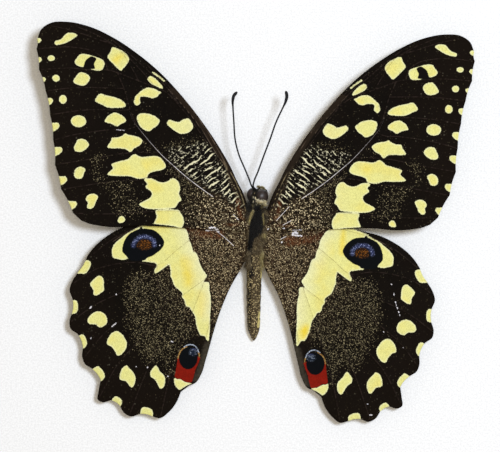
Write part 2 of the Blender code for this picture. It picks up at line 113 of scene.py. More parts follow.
FORE_COSTA = [
    (1.2, 2.3), (1.9, 3.0), (2.35, 4.1), (3.3, 6.7), (4.75, 9.6), (5.9, 12.2), (8.0, 16.0),
    (12.0, 22.1), (17.0, 28.5), (22.0, 33.8), (27.0, 37.9), (32.0, 41.2), (38.0, 43.9),
    (43.0, 44.85), (46.3, 44.6), (48.5, 43.2), (49.5, 41.0),
]
FORE_VEIN_ENDS = [
    (49.7, 38.8), (49.2, 34.2), (47.8, 29.5), (46.9, 24.2), (46.3, 18.6), (46.0, 13.0), (44.7, 7.6),
    (42.1, 2.3),
]
FORE_INNER = [
    (40.3, 0.6), (38.5, -0.1), (36.0, -0.6), (33.0, -0.9), (27.0, -0.6), (20.0, -0.9), (14.0, -1.3),
    (8.0, -1.6), (3.0, -1.7), (1.2, -1.6),
]
SCALLOP_DEPTH = 0.20
FORE_VEINS = {
    "Sc": [(1.6, 2.0), (3.5, 4.2), (5.0, 8.2), (8.0, 14.8), (12.0, 21.0), (17.0, 27.6),
           (24.6, 35.2)],
    "R": [(1.4, 1.4), (3.6, 3.4), (6.0, 8.6), (9.0, 14.0), (12.0, 18.9), (16.5, 25.0), (21.0, 29.5),
          (24.6, 30.9), (28.0, 32.2), (31.5, 33.6)],
    "R1": [(16.5, 25.0), (21.0, 31.0), (24.5, 34.0), (28.5, 37.6), (32.6, 40.9)],
    "R2": [(22.6, 30.1), (26.5, 34.5), (31.0, 38.9), (36.0, 41.9), (40.6, 43.8)],
    "R3": [(26.6, 31.7), (29.0, 36.0), (31.5, 39.2), (36.0, 41.0), (42.0, 43.0), (46.2, 43.9)],
    "R4": [(33.6, 34.1), (34.4, 36.3), (36.5, 38.1), (40.0, 39.0), (45.0, 39.2), (49.1, 38.8)],
    "R5": [(31.5, 33.6), (33.6, 34.1), (37.0, 34.1), (41.5, 34.5), (48.7, 34.2)],
    "M1": [(30.0, 30.0), (33.0, 30.1), (37.0, 30.2), (42.0, 30.1), (47.3, 29.5)],
    "M2": [(28.7, 25.3), (31.0, 25.1), (34.0, 25.3), (40.0, 25.1), (46.4, 24.2)],
    "M3": [(27.2, 21.6), (29.5, 20.9), (32.0, 20.9), (37.0, 20.4), (42.0, 19.6), (45.8, 18.6)],
    "CuA1": [(22.4, 15.7), (25.5, 15.8), (28.6, 15.7), (31.5, 15.4), (36.0, 14.6), (45.5, 13.1)],
    "CuA2": [(16.4, 10.0), (20.0, 10.8), (24.3, 10.4), (27.0, 9.7), (30.0, 9.5), (35.0, 9.0),
             (44.2, 7.6)],
    "Cu": [(1.4, 0.2), (4.4, 2.4), (9.0, 5.4), (14.0, 8.4), (17.5, 10.8), (20.5, 13.8),
           (23.5, 17.0), (25.6, 19.4), (27.2, 21.6)],
    "disc": [(31.5, 33.6), (30.0, 30.0), (28.7, 25.3), (27.2, 21.6)],
    "A": [(1.4, -1.0), (4.0, -0.2), (8.0, 0.6), (13.0, 1.6), (18.5, 2.7), (24.0, 2.6), (32.0, 2.1),
          (41.4, 2.2)],
}

HIND_COSTA = [
    (1.2, 0.2), (3.0, 1.4), (6.0, 2.9), (10.0, 3.2), (14.0, 2.2), (18.0, 0.6), (22.0, -0.7),
    (25.0, -1.6), (29.0, -2.55), (32.0, -3.9), (35.0, -5.9), (37.0, -7.9), (38.3, -9.8),
]
HIND_LOBES = [
    [(40.0, -12.9), (41.4, -15.2), (41.95, -17.2), (41.3, -19.05)],
    [(41.2, -22.2), (41.8, -24.4), (41.5, -25.9), (39.9, -27.1)],
    [(38.6, -30.1), (38.65, -32.5), (38.0, -34.0), (36.6, -34.9)],
    [(34.4, -37.6), (34.8, -40.0), (34.9, -42.1), (34.0, -42.65), (32.0, -42.2)],
    [(29.9, -43.5), (28.9, -45.1), (27.3, -45.9), (25.4, -45.3)],
    [(22.5, -45.9), (20.8, -46.3), (18.9, -45.0), (17.2, -42.8), (16.2, -40.3)],
]
HIND_NOTCH_DEPTH = 0.22
HIND_INNER = [
    (14.4, -38.9), (13.0, -38.3), (11.7, -36.2), (10.8, -33.0), (10.0, -29.9), (8.9, -25.5),
    (7.4, -20.8), (5.6, -16.4), (3.3, -12.1), (2.5, -10.3), (2.2, -8.0), (2.0, -5.5), (1.2, -4.8),
]
HIND_VEINS = {
    "ScR1": [(1.6, -0.4), (4.0, 0.9), (8.0, 1.9), (13.0, 1.2), (19.0, -0.9), (26.0, -2.7),
             (32.0, -5.4), (37.6, -9.6)],
    "Rs": [(1.4, -1.0), (6.0, -1.8), (12.0, -3.8), (18.0, -8.2), (22.4, -11.6), (27.0, -11.0),
           (32.0, -11.4), (37.0, -12.9), (41.0, -15.6)],
    "M1": [(22.4, -11.6), (25.0, -14.6), (30.0, -17.6), (35.5, -20.2), (41.4, -24.3)],
    "M2": [(22.0, -16.0), (28.0, -22.2), (34.0, -27.2), (38.2, -32.4)],
    "M3": [(20.0, -19.6), (25.0, -27.4), (30.6, -34.0), (34.5, -41.3)],
    "Cu": [(1.4, -2.6), (5.0, -5.6), (9.0, -11.0), (11.3, -14.5), (14.5, -17.0), (17.4, -19.2)],
    "disc": [(22.4, -11.6), (22.0, -16.0), (20.0, -19.6), (17.4, -19.2)],
    "CuA1": [(17.4, -19.2), (20.5, -27.0), (24.8, -37.4), (27.6, -45.3)],
    "CuA2": [(11.3, -14.5), (13.5, -20.5), (16.0, -28.0), (18.8, -36.8), (20.6, -45.7)],
    "A": [(1.6, -4.0), (3.6, -7.6), (5.6, -12.4), (8.4, -19.0), (10.6, -26.6), (12.0, -33.4),
          (13.6, -38.0)],
}

# Forewing marks: ovals are centre and half sizes, rings are closed outlines
FORE_OVALS = [
    (46.5, 36.95, 0.85, 0.65), (45.55, 32.45, 0.85, 0.8), (44.1, 27.7, 0.9, 1.0),
    (40.7, 22.8, 1.75, 1.35),
]
# Marks that the outer margin cuts: inner tip, then its lower end at the margin, then the top
FORE_TEETH = [
    (48.6, 40.95, 49.6, 40.2, 41.5), (48.6, 36.6, 49.7, 35.75, 37.2),
    (47.8, 32.2, 48.7, 31.35, 32.7), (46.3, 27.4, 47.4, 26.3, 28.0),
    (45.0, 21.8, 46.35, 20.5, 22.45), (44.5, 16.3, 46.0, 15.0, 17.0),
    (43.6, 9.66, 44.95, 8.4, 10.4), (41.5, 4.2, 42.5, 3.0, 4.8),
]
FORE_RINGS = [
    [(40.5, 42.0), (41.2, 42.6), (42.5, 42.7), (43.2, 42.3), (44.3, 41.2), (45.5, 40.8),
     (45.7, 40.3), (45.4, 39.95), (44.0, 40.1), (42.5, 40.7)],
    [(38.5, 17.4), (38.8, 18.2), (39.7, 18.8), (40.9, 18.7), (41.4, 18.0), (41.9, 17.0),
     (41.8, 16.2), (41.2, 15.9), (40.3, 15.9), (39.2, 16.5)],
    [(39.4, 12.0), (40.5, 12.6), (41.5, 12.2), (42.0, 11.4), (42.0, 10.4), (41.5, 9.9), (40.7, 9.8),
     (40.1, 10.2), (39.8, 11.0)],
    [(36.7, 5.7), (37.0, 6.2), (37.8, 6.5), (38.8, 6.3), (39.4, 5.7), (39.5, 5.1), (39.1, 4.4),
     (39.3, 3.6), (39.0, 3.1), (38.3, 3.1), (37.6, 3.7), (37.3, 4.5)],
    [(30.9, 1.1), (31.3, 1.45), (31.9, 1.4), (32.3, 0.9), (32.5, 0.3), (32.2, -0.05), (31.5, -0.1),
     (31.0, 0.15), (30.7, 0.6)],
    [(28.9, 37.0), (29.8, 38.25), (31.0, 38.95), (32.1, 39.45), (32.8, 39.4), (33.1, 38.5),
     (33.8, 37.4), (33.4, 36.6), (31.1, 34.3), (30.2, 34.8), (29.2, 36.0)],
    [(34.5, 36.0), (35.0, 36.7), (36.5, 37.3), (38.5, 37.9), (40.0, 37.9), (40.6, 37.2),
     (41.3, 36.2), (40.8, 35.4), (39.8, 35.0), (38.9, 34.9), (37.0, 34.3), (36.0, 34.2),
     (35.2, 34.3), (34.7, 35.0)],
    [(37.9, 32.5), (38.3, 33.3), (39.3, 33.75), (40.1, 33.8), (41.0, 33.0), (41.7, 31.8),
     (41.3, 31.3), (40.3, 30.9), (39.4, 30.8), (38.5, 31.3)],
    [(29.9, 26.5), (30.5, 27.3), (31.5, 27.9), (33.0, 28.4), (34.5, 28.7), (35.3, 29.0),
     (36.1, 28.8), (36.9, 27.6), (36.6, 27.1), (35.5, 26.6), (34.0, 25.9), (32.0, 25.8),
     (30.3, 26.0)],
    [(29.95, 23.2), (30.4, 23.8), (31.3, 24.4), (32.6, 24.8), (33.6, 24.3), (34.3, 23.8),
     (34.8, 22.8), (34.4, 22.5), (33.2, 22.2), (32.1, 21.6), (31.3, 22.1), (30.2, 22.6)],
    [(26.35, 18.4), (27.1, 19.2), (28.4, 19.6), (29.6, 19.8), (30.2, 20.1), (30.9, 19.6),
     (32.0, 19.2), (33.2, 19.1), (33.5, 18.4), (34.4, 17.0), (33.4, 16.7), (31.5, 16.7),
     (30.2, 16.5), (29.5, 16.0), (29.0, 15.9), (28.3, 16.7), (27.0, 17.4)],
    [(21.2, 12.7), (21.8, 14.0), (22.9, 14.9), (24.5, 15.0), (26.5, 14.8), (27.3, 15.0),
     (28.0, 15.4), (28.8, 15.2), (29.8, 14.3), (31.0, 14.0), (33.5, 13.2), (33.2, 12.2),
     (34.5, 11.0), (34.0, 10.6), (32.0, 10.45), (29.5, 10.4), (27.8, 9.9), (26.5, 9.9),
     (25.5, 10.2), (25.1, 11.0), (23.8, 11.5), (22.0, 11.9)],
    [(19.4, 10.0), (20.2, 9.9), (20.8, 9.4), (21.8, 9.1), (22.9, 9.2), (23.8, 9.7), (25.0, 10.0),
     (26.3, 9.7), (25.6, 8.8), (26.0, 8.0), (25.0, 7.2), (24.6, 6.7), (24.7, 6.0), (25.4, 5.3),
     (26.5, 4.8), (27.5, 4.1), (26.8, 3.5), (25.5, 3.1), (23.5, 3.0), (19.6, 3.3), (18.6, 4.5),
     (17.9, 5.1), (18.4, 6.6), (18.1, 7.4), (18.2, 8.5), (18.6, 9.4)],
    [(18.9, 2.9), (23.4, 2.9), (23.8, 2.2), (23.6, 1.4), (24.2, 0.0), (24.4, -0.3), (20.0, -0.8),
     (18.2, -1.3), (17.6, -0.6), (17.4, 0.3), (17.6, 1.3), (18.2, 2.2)],
    [(14.8, 21.8), (15.1, 22.6), (15.7, 23.4), (16.3, 23.5), (17.4, 23.1), (18.0, 22.65),
     (19.2, 22.9), (20.2, 23.2), (20.8, 22.4), (20.3, 21.7), (19.2, 20.8), (18.0, 20.1),
     (17.0, 20.0), (15.8, 20.4), (15.0, 21.1)],
    [(22.3, 22.9), (22.9, 23.6), (23.8, 24.2), (25.3, 24.6), (26.5, 24.6), (27.4, 24.1),
     (27.5, 23.2), (27.1, 22.1), (26.4, 21.2), (25.5, 20.7), (24.6, 20.6), (23.9, 21.2),
     (23.0, 21.8)],
    [(21.8, 29.3), (22.5, 29.7), (23.5, 30.2), (24.7, 30.4), (25.8, 30.1), (26.8, 29.3),
     (27.7, 28.5), (28.0, 27.7), (28.1, 27.0), (27.7, 26.4), (27.2, 26.4), (26.6, 27.0),
     (26.7, 27.6), (26.5, 28.3), (25.0, 28.3), (24.0, 28.0), (22.9, 28.3), (22.3, 28.9)],
    [(21.4, 30.4), (21.8, 31.1), (22.8, 32.2), (23.6, 32.8), (24.4, 33.0), (24.9, 32.2),
     (24.1, 31.3), (23.0, 30.7), (21.8, 30.2)],
]
FORE_STREAK = [(21.1, 31.9), (22.3, 32.9), (23.6, 33.8)]
FORE_LOBE = [(36.35, 36.95), (37.0, 37.35), (37.5, 37.4), (38.2, 37.0), (38.75, 36.5), (39.0, 36.0),
             (39.2, 35.3), (39.3, 34.6), (36.8, 34.6), (36.8, 35.2), (36.85, 35.8), (36.5, 36.4)]
FORE_LIGHT_VEIN = [
    (10.2, 5.9), (12.5, 7.5), (16.3, 10.4), (19.1, 12.85), (21.4, 14.9), (23.8, 17.5), (26.7, 21.0),
    (28.0, 22.7), (28.9, 25.0),
]
LIGHT_VEINS = {
    "forewing_right": [FORE_LIGHT_VEIN, [(4.3, 0.6), (5.8, 2.3),
                                         (7.2, 3.9)], [(5.9, -0.4), (7.8, 0.7)]],
    "forewing_left": [FORE_LIGHT_VEIN, [(4.5, 0.7), (5.6, 1.9)]],
    "hindwing_right": [[(6.2, -3.9), (7.4, -3.2)]],
    "hindwing_left": [[(8.8, -4.3), (8.0, -4.9), (6.8, -5.9), (5.3, -7.3)]],
}
# Rubbed-off scales, the bare membrane's shine painted as a highlight: half width, then the stroke
RUBBED_GLINTS = {
    "forewing_right": [
        (0.26, [(8.3, -1.75), (9.3, -1.65)]), (0.12, [(9.7, -1.4), (10.3, -1.5)]),
        (0.14, [(2.4, -1.5), (2.5, -1.3)]), (0.12, [(6.0, -1.2), (6.3, -1.1)]),
    ],
    "forewing_left": [
        (0.15, [(9.8, -1.0), (11.2, -1.05)]), (0.12, [(9.2, -1.4), (9.6, -1.5)]),
        (0.03, [(30.2, 20.7), (31.9, 20.8)]),
    ],
    "hindwing_right": [
        (0.20, [(8.9, -2.45), (9.5, -2.1), (9.9, -2.4)]), (0.15, [(8.8, -2.9), (11.0, -3.05)]),
        (0.15, [(6.4, -4.7), (6.5, -4.6)]), (0.10, [(31.8, -13.7), (31.85, -13.8)]),
        (0.08, [(32.4, -15.8), (32.5, -16.2)]), (0.12, [(32.85, -17.7), (32.9, -17.9)]),
        (0.10, [(33.05, -18.4), (33.1, -18.6)]), (0.13, [(33.3, -19.1), (33.35, -19.3)]),
        (0.11, [(33.6, -20.0), (33.7, -20.2)]), (0.08, [(33.9, -20.8), (33.95, -20.9)]),
        (0.10, [(27.5, -44.3), (28.0, -44.25)]), (0.07, [(34.8, -28.4), (34.9, -28.5)]),
        (0.07, [(30.2, -24.8), (30.35, -24.9)]), (0.07, [(26.8, -41.7), (26.95, -41.75)]),
    ],
    "hindwing_left": [
        (0.08, [(36.8, -28.0), (36.9, -28.2)]), (0.07, [(26.4, -34.5), (26.55, -34.65)]),
        (0.08, [(23.85, -34.7), (23.95, -34.9)]),
        (0.14, [(9.6, -3.75), (11.6, -3.8)]), (0.16, [(8.7, -4.1), (9.2, -3.9)]),
        (0.12, [(32.1, -25.4), (31.3, -24.75)]), (0.15, [(31.4, -18.2), (31.4, -18.1)]),
        (0.13, [(37.25, -21.3), (36.9, -20.95)]), (0.08, [(21.85, -7.1), (21.9, -7.2)]),
        (0.12, [(18.7, -28.8), (18.4, -29.05)]), (0.12, [(19.2, -36.7), (19.35, -36.75)]),
    ],
}
# Warmer yellow in the pale marks: strength, softness, then the area
GOLD = {
    "forewing_right": [(0.3, 1.2, [(26.3, 13.5), (23.7, 14.3), (23.1, 13.2), (25.3, 12.0)])],
    "forewing_left": [
        (0.3, 1.2, [(26.3, 13.5), (23.7, 14.3), (23.1, 13.2), (25.3, 12.0)]),
        (0.7, 1.4, [(31.5, 37.4), (30.2, 37.2), (31.5, 35.9), (32.7, 36.1)]),
        (0.35, 1.2, [(25.1, 8.8), (23.2, 9.1), (21.6, 7.4), (24.2, 6.9)]),
    ],
    "hindwing_right": [
        (0.8, 1.2, [(20.2, -1.5), (20.9, -1.8), (20.9, -5.1), (20.5, -7.1), (19.8, -6.8),
                    (19.8, -4.3)]),
        (0.95, 1.3, [(11.4, -24.2), (12.6, -23.6), (12.8, -25.5), (12.1, -26.7), (11.4, -26.5)]),
        (0.35, 2.4, [(14.6, -9.0), (16.0, -8.0), (16.3, -11.3), (14.9, -13.6)]),
    ],
    "hindwing_left": [
        (0.55, 1.6, [(16.7, -9.8), (14.7, -9.8), (14.2, -13.0), (14.3, -15.9), (16.0, -16.3),
                     (16.6, -13.0)]),
        (0.6, 1.4, [(12.8, -17.6), (11.0, -17.8), (10.7, -20.3), (11.4, -23.1), (12.6, -23.1),
                    (12.9, -20.3)]),
    ],
}
# How each wing's marks lie off the place that its outline's own stretch gives them, in millimetres:
# outwards and along, each from the distance out, the distance along and a fixed part
MARKS_MOVED = {
    "forewing_right": ((0.0012, -0.0024, -0.131), (-0.0045, -0.0012, 0.050)),
    "forewing_left": ((0.0052, 0.0068, -0.609), (0.0022, -0.0114, 0.081)),
    "hindwing_right": ((-0.0022, -0.0032, -0.034), (-0.0088, 0.0027, 0.271)),
    "hindwing_left": ((-0.0175, 0.0122, 0.840), (-0.0155, -0.0085, 0.059)),
}
# Marks that lie a little farther off than the rest: their middle, how far around it, and the way
BAND_MIDDLE, BAND_SIZE = (12.0, -18.0), (6.0, 12.0)
MARKS_NUDGED = {
    "hindwing_right": [(BAND_MIDDLE, BAND_SIZE, (0.52, -0.42))],
    "hindwing_left": [
        ((31.0, -7.0), (4.0, 4.0), (0.30, -0.22)),
        (BAND_MIDDLE, BAND_SIZE, (-0.12, -0.85)),
    ],
}
FORE_COSTA_LINES = [
    [(3.3, 2.6), (4.2, 6.0), (5.2, 8.6), (6.4, 11.0), (8.9, 15.7), (11.2, 19.9), (13.2, 23.0),
     (15.0, 25.7), (16.9, 28.3)],
    [(4.8, 5.5), (5.6, 7.9), (6.7, 9.9), (7.9, 13.0), (9.3, 14.9), (10.7, 17.3), (12.4, 20.2),
     (15.0, 23.9), (17.4, 26.8), (18.7, 28.4), (20.2, 30.1)],
]
# The strip between the front edge and the inner one of those lines
FORE_COSTAL = [
    *FORE_COSTA_LINES[1],
    (18.0, 31.0), (14.0, 27.5), (8.0, 18.5), (4.0, 11.5), (1.5, 5.0), (2.0, 1.5),
]
FORE_STREAK_HALF = 0.22
PUPIL_OCHRE_HALF = 0.14
PUPIL_ARC_HALF = 0.11
OCELLUS_BLUE_HALF = 0.38
STRIAE_ACROSS = (0.574, 0.819, 0.0)
STRIAE_ALONG = (0.819, -0.574, 0.0)
STRIAE_GAP = 1.10  # from one row of dashes to the next
STRIAE_END = (19.2, 21.6)  # across the rows, where they break up into specks
HIND_COSTA_LINE = [(21.2, -0.8), (24.9, -1.9), (27.6, -3.3), (29.7, -4.2), (32.0, -5.7)]
FORE_DUST = [
    (0.42, 1.6, [(1.5, -1.5), (8.0, -1.9), (15.0, -1.8), (17.2, -1.0), (17.2, 1.0), (17.6, 3.2),
                 (17.4, 5.0), (17.8, 8.0), (19.5, 10.5), (17.5, 10.6), (14.0, 8.6), (9.0, 5.6),
                 (4.4, 2.6), (1.4, 0.8)]),
    (0.20, 2.0, [(3.2, 2.5), (5.5, 8.0), (9.6, 14.0), (12.5, 18.3), (16.0, 19.2), (20.0, 18.3),
                 (22.0, 17.2), (21.4, 15.6), (20.2, 13.8), (17.5, 10.8), (14.0, 8.4), (9.0, 5.4),
                 (4.4, 2.4)]),
    (0.30, 1.2, [(17.0, 10.0), (19.2, 12.4), (20.6, 13.4), (20.6, 12.2), (21.4, 11.4),
                 (18.6, 10.2)]),
    (0.10, 1.2, [(20.6, 13.4), (26.0, 19.0), (27.4, 17.2), (26.4, 15.6), (22.5, 15.4)]),
    (0.24, 1.6, [(37.8, 14.9), (34.7, 14.9), (36.1, 12.1), (34.8, 9.7), (29.1, 9.2), (28.1, 5.9),
                 (26.1, 2.2), (29.8, 1.2), (33.6, 2.7), (33.7, 5.9), (36.0, 8.5), (37.8, 10.4)]),
]
FORE_STRIAE = [(4.4, 4.0), (5.9, 7.4), (7.4, 10.7), (9.3, 14.3), (10.7, 16.5), (12.3, 18.0),
               (14.7, 17.6), (18.6, 16.8), (20.9, 16.5), (20.0, 14.3), (17.6, 12.1), (13.8, 9.3),
               (8.8, 6.1), (6.2, 4.2)]
FORE_RUST = [
    (0.9, 0.7, [(3.9, 0.8), (4.5, 2.6), (4.8, 5.3), (5.5, 5.3), (5.3, 3.2), (4.8, 1.2)]),
    (0.7, 0.5, [(5.0, -0.2), (8.4, -0.3), (8.4, -0.7), (5.0, -0.6)]),
    (0.5, 0.8, [(11.0, -1.9), (16.2, -0.9), (17.0, -1.6), (12.0, -2.4)]),
]

# Hindwing marks
HIND_RIM_MARKS = [
    [(39.0, -10.2), (38.2, -10.0), (37.4, -10.3), (37.25, -11.0), (37.5, -11.8), (37.9, -12.5),
     (38.4, -13.0), (39.0, -13.15), (39.5, -13.05), (41.0, -12.9), (41.0, -11.0)],
    [(42.6, -19.0), (41.3, -19.05), (40.6, -19.1), (40.2, -19.6), (40.05, -20.3), (40.05, -21.0),
     (40.2, -21.7), (40.6, -22.1), (41.2, -22.2), (42.6, -22.3)],
    [(41.6, -27.8), (39.8, -27.2), (39.2, -26.9), (38.7, -27.0), (38.2, -27.7), (37.9, -28.5),
     (37.9, -29.3), (38.3, -29.9), (38.6, -30.1), (40.4, -30.6)],
    [(38.0, -35.8), (36.5, -34.8), (35.9, -34.5), (35.3, -34.2), (34.8, -34.6), (34.2, -35.2),
     (33.8, -35.9), (33.65, -36.6), (33.9, -37.2), (34.4, -37.6), (36.2, -38.6)],
    [(32.6, -43.4), (32.0, -42.1), (31.7, -41.6), (31.1, -41.2), (30.5, -41.4), (29.9, -41.9),
     (29.6, -42.5), (29.7, -43.0), (29.9, -43.4), (30.6, -44.6)],
    [(25.6, -46.6), (25.4, -45.1), (25.3, -44.4), (25.0, -43.9), (24.3, -43.8), (23.5, -44.0),
     (22.8, -44.4), (22.5, -45.0), (22.5, -45.7), (22.6, -47.0)],
]
HIND_RINGS = [
    [(34.3, -14.5), (34.7, -13.8), (35.3, -13.6), (36.0, -13.9), (36.7, -14.5), (37.3, -15.2),
     (37.3, -15.8), (36.9, -16.4), (36.6, -17.0), (36.6, -17.8), (36.2, -18.15), (35.5, -18.0),
     (34.8, -17.5), (34.3, -17.2), (34.1, -16.7), (34.2, -16.0), (34.2, -15.2)],
    [(33.3, -23.7), (33.5, -22.9), (34.1, -22.2), (34.9, -21.8), (35.7, -21.75), (36.5, -22.0),
     (37.2, -22.6), (37.7, -23.3), (37.8, -24.0), (37.5, -24.5), (36.9, -24.7), (36.2, -24.7),
     (35.7, -24.9), (35.3, -25.3), (34.8, -25.4), (34.2, -25.2), (33.6, -24.8), (33.3, -24.3)],
    [(29.7, -27.2), (30.4, -26.6), (31.1, -26.3), (31.9, -26.5), (32.5, -27.0), (33.0, -27.8),
     (33.3, -28.6), (33.2, -29.4), (32.3, -29.8), (31.8, -30.4), (31.3, -31.1), (31.1, -31.7),
     (30.7, -31.9), (30.1, -31.8), (29.4, -31.1), (28.9, -30.3), (28.7, -29.4), (28.8, -28.7),
     (29.3, -27.8)],
    [(28.0, -34.9), (28.6, -34.2), (29.1, -34.3), (29.7, -34.8), (30.1, -35.7), (30.3, -36.7),
     (30.2, -37.3), (29.8, -37.6), (28.9, -37.8), (28.4, -38.3), (28.0, -38.9), (27.5, -39.3),
     (27.0, -38.9), (26.7, -38.1), (26.6, -37.2), (26.8, -36.4), (27.3, -35.6)],
    [(21.0, -35.7), (21.5, -34.8), (22.0, -34.3), (22.5, -34.7), (23.1, -35.5), (23.3, -36.2),
     (23.1, -36.9), (22.4, -37.4), (21.9, -38.0), (21.4, -38.9), (21.1, -39.5), (20.7, -39.7),
     (20.1, -39.2), (19.8, -38.3), (19.8, -37.3), (20.1, -36.6)],
]
HIND_BAND = [
    (17.8, 0.6), (17.4, -0.6), (17.2, -1.5), (16.5, -2.0), (16.0, -2.7), (15.5, -3.5), (15.1, -4.3),
    (14.9, -5.3), (14.5, -6.2), (14.2, -7.0), (13.9, -8.0), (13.2, -8.4), (12.8, -9.2),
    (12.5, -10.2), (12.1, -11.2), (11.6, -12.0), (11.1, -12.7), (10.7, -13.3), (11.0, -14.0),
    (11.4, -14.6), (10.4, -14.7), (10.1, -15.3), (10.1, -16.5), (9.85, -17.5), (9.7, -19.0),
    (9.7, -20.5), (9.8, -22.0), (9.8, -24.0), (9.8, -26.0), (9.9, -27.5), (10.0, -28.5),
    (10.3, -28.6), (10.7, -28.0), (11.0, -27.4), (11.9, -27.2), (12.3, -26.5), (12.7, -25.6),
    (13.0, -24.5), (13.2, -23.3), (13.4, -22.5), (14.2, -21.2), (14.6, -20.6), (15.2, -20.5),
    (15.6, -19.9), (15.8, -19.0), (16.4, -18.3), (16.3, -17.5), (16.9, -16.9), (17.9, -16.2),
    (18.3, -15.5), (18.6, -14.7), (19.0, -13.8), (19.0, -12.8), (19.2, -11.7), (19.4, -11.3),
    (20.0, -11.7), (20.8, -12.3), (21.5, -12.8), (22.4, -13.3), (22.7, -13.0), (22.6, -12.4),
    (22.2, -11.5), (22.5, -11.0), (23.5, -10.8), (24.7, -10.6), (25.4, -10.5), (25.4, -10.2),
    (24.6, -9.9), (25.0, -7.0), (25.5, -3.0), (26.5, -2.5), (25.2, -1.9), (24.0, -1.5),
    (22.0, -0.6), (20.0, 0.4),
]
HIND_CRESCENT = [
    (26.0, -2.6), (27.0, -2.9), (28.0, -3.4), (29.0, -4.0), (30.0, -4.8), (31.0, -5.6),
    (31.8, -6.4), (32.2, -7.2), (32.3, -8.0), (32.2, -9.0), (31.9, -9.5), (31.0, -9.75),
    (30.0, -10.0), (29.0, -9.85), (28.2, -9.6), (28.8, -9.25), (28.8, -7.5), (28.4, -5.0),
    (26.5, -3.4),
]
HIND_CREAM_PATCH = [
    (14.0, -38.4), (15.2, -38.2), (16.0, -37.7), (16.6, -37.5), (17.2, -37.5), (17.7, -37.2),
    (17.8, -37.9), (17.6, -38.8), (17.1, -39.6), (16.4, -40.0), (15.9, -39.7), (15.1, -39.2),
    (14.2, -38.8), (13.6, -38.6),
]
OCELLUS = [
    (25.5, -3.05), (24.5, -3.1), (23.0, -3.4), (22.0, -4.1), (21.2, -4.9), (20.7, -5.7),
    (20.5, -6.3), (20.8, -7.2), (21.4, -8.0), (22.3, -8.7), (23.2, -9.3), (24.2, -9.65),
    (25.5, -10.3), (28.0, -10.2), (29.0, -9.1), (29.7, -8.3), (29.85, -7.6), (29.7, -6.5),
    (29.4, -5.6), (29.0, -4.8), (28.3, -4.0), (27.3, -3.5), (26.5, -3.15),
]
OCELLUS_BLUE = [(22.75, -6.95), (22.85, -6.1), (23.5, -5.4), (24.3, -5.0), (25.2, -4.85),
                (26.1, -5.0), (26.8, -5.5), (27.3, -6.2), (27.4, -6.9)]
OCELLUS_RUST = [(23.4, -6.9), (23.7, -6.1), (24.5, -5.6), (25.5, -5.6), (26.3, -6.2), (26.6, -7.0),
                (26.0, -7.6), (24.8, -7.8), (23.8, -7.5)]
PUPIL = (14.6, -32.6, 2.15, 2.66)
PUPIL_BLUE = (13.5, -31.2, 1.0, 0.85)
PUPIL_ARC = [(12.25, -31.3), (12.5, -30.5), (13.2, -29.7), (14.2, -29.4), (15.0, -29.6),
             (15.6, -30.0)]
PUPIL_OCHRES = [
    [(15.0, -29.9), (15.7, -30.3), (16.4, -31.0), (16.8, -31.9), (17.0, -32.7)],
    [(12.1, -32.4), (12.1, -31.9), (12.25, -31.3)],
]
PUPIL_RED = [
    (12.0, -32.4), (12.0, -33.0), (12.4, -34.2), (12.9, -35.3), (13.1, -36.2), (13.4, -37.3),
    (13.8, -38.3), (15.0, -38.2), (15.8, -37.8), (16.3, -37.4), (17.0, -37.4), (17.6, -37.0),
    (17.5, -36.0), (17.3, -34.9), (17.1, -33.5), (16.8, -32.0), (14.6, -31.8),
]
HIND_DUST = [
    (0.50, 1.0, [(1.0, 0.4), (6.0, 2.8), (14.0, 2.0), (17.4, 0.2), (16.6, -2.0), (15.2, -4.3),
                 (14.3, -6.5), (13.6, -8.2), (12.4, -9.4), (11.3, -12.0), (10.5, -13.5),
                 (9.9, -15.3), (9.6, -17.5), (9.4, -20.0), (9.5, -26.0), (9.5, -29.0), (8.8, -25.5),
                 (7.2, -20.8), (5.2, -16.4), (2.9, -12.1), (2.0, -8.0), (1.0, -4.8)]),
    (0.39, 2.4, [(18.6, -12.0), (22.4, -13.2), (26.6, -12.6), (28.4, -14.5), (29.3, -17.3),
                 (29.3, -21.0), (28.8, -25.0), (27.2, -28.2), (26.2, -31.2), (23.6, -33.8),
                 (20.9, -33.0), (18.5, -37.5), (17.8, -33.0), (15.8, -29.0), (13.4, -27.0),
                 (12.4, -24.5), (13.4, -21.8), (15.4, -19.5), (16.4, -17.3), (18.2, -15.0)]),
]
HIND_RUST = [
    (0.9, 0.9, [(7.0, -3.9), (8.3, -3.3), (10.9, -3.3), (13.6, -2.7), (16.8, -1.8), (16.4, -3.3),
                (12.7, -4.8), (10.1, -5.2), (7.4, -5.4)]),
    (0.25, 1.6, [(12.0, -2.0), (16.0, -1.0), (15.2, -4.5), (13.6, -8.0), (12.6, -6.6)]),
]
HIND_FOLD = [(0.9, 0.9, [(9.6, -28.6), (10.8, -29.2), (11.5, -31.5), (12.0, -34.0), (12.9, -36.3),
                         (13.3, -37.9), (11.0, -37.6), (9.0, -33.4), (8.4, -28.6)])]

LEFT_ANTENNA = [
    (-1.5, 8.4, 5.7), (-1.95, 9.6, 5.75), (-3.1, 12.2, 5.9), (-4.55, 15.4, 6.2), (-5.5, 18.8, 6.6),
    (-5.9, 22.7, 7.0), (-6.2, 26.2, 7.3), (-6.3, 27.6, 7.4), (-6.05, 28.9, 7.5), (-5.3, 29.8, 7.6),
]
RIGHT_ANTENNA = [
    (-1.1, 8.3, 6.75), (-0.9, 9.5, 6.7), (-0.15, 11.5, 6.65), (1.0, 14.9, 6.7), (2.5, 19.2, 6.9),
    (3.8, 23.2, 7.1), (5.2, 26.4, 7.4), (5.8, 27.8, 7.5), (6.05, 29.2, 7.6), (5.8, 30.3, 7.7),
]
ANTENNA_RADIUS = 0.20
CLUB_RADIUS = 0.40
CLUB_LENGTH = 4.0

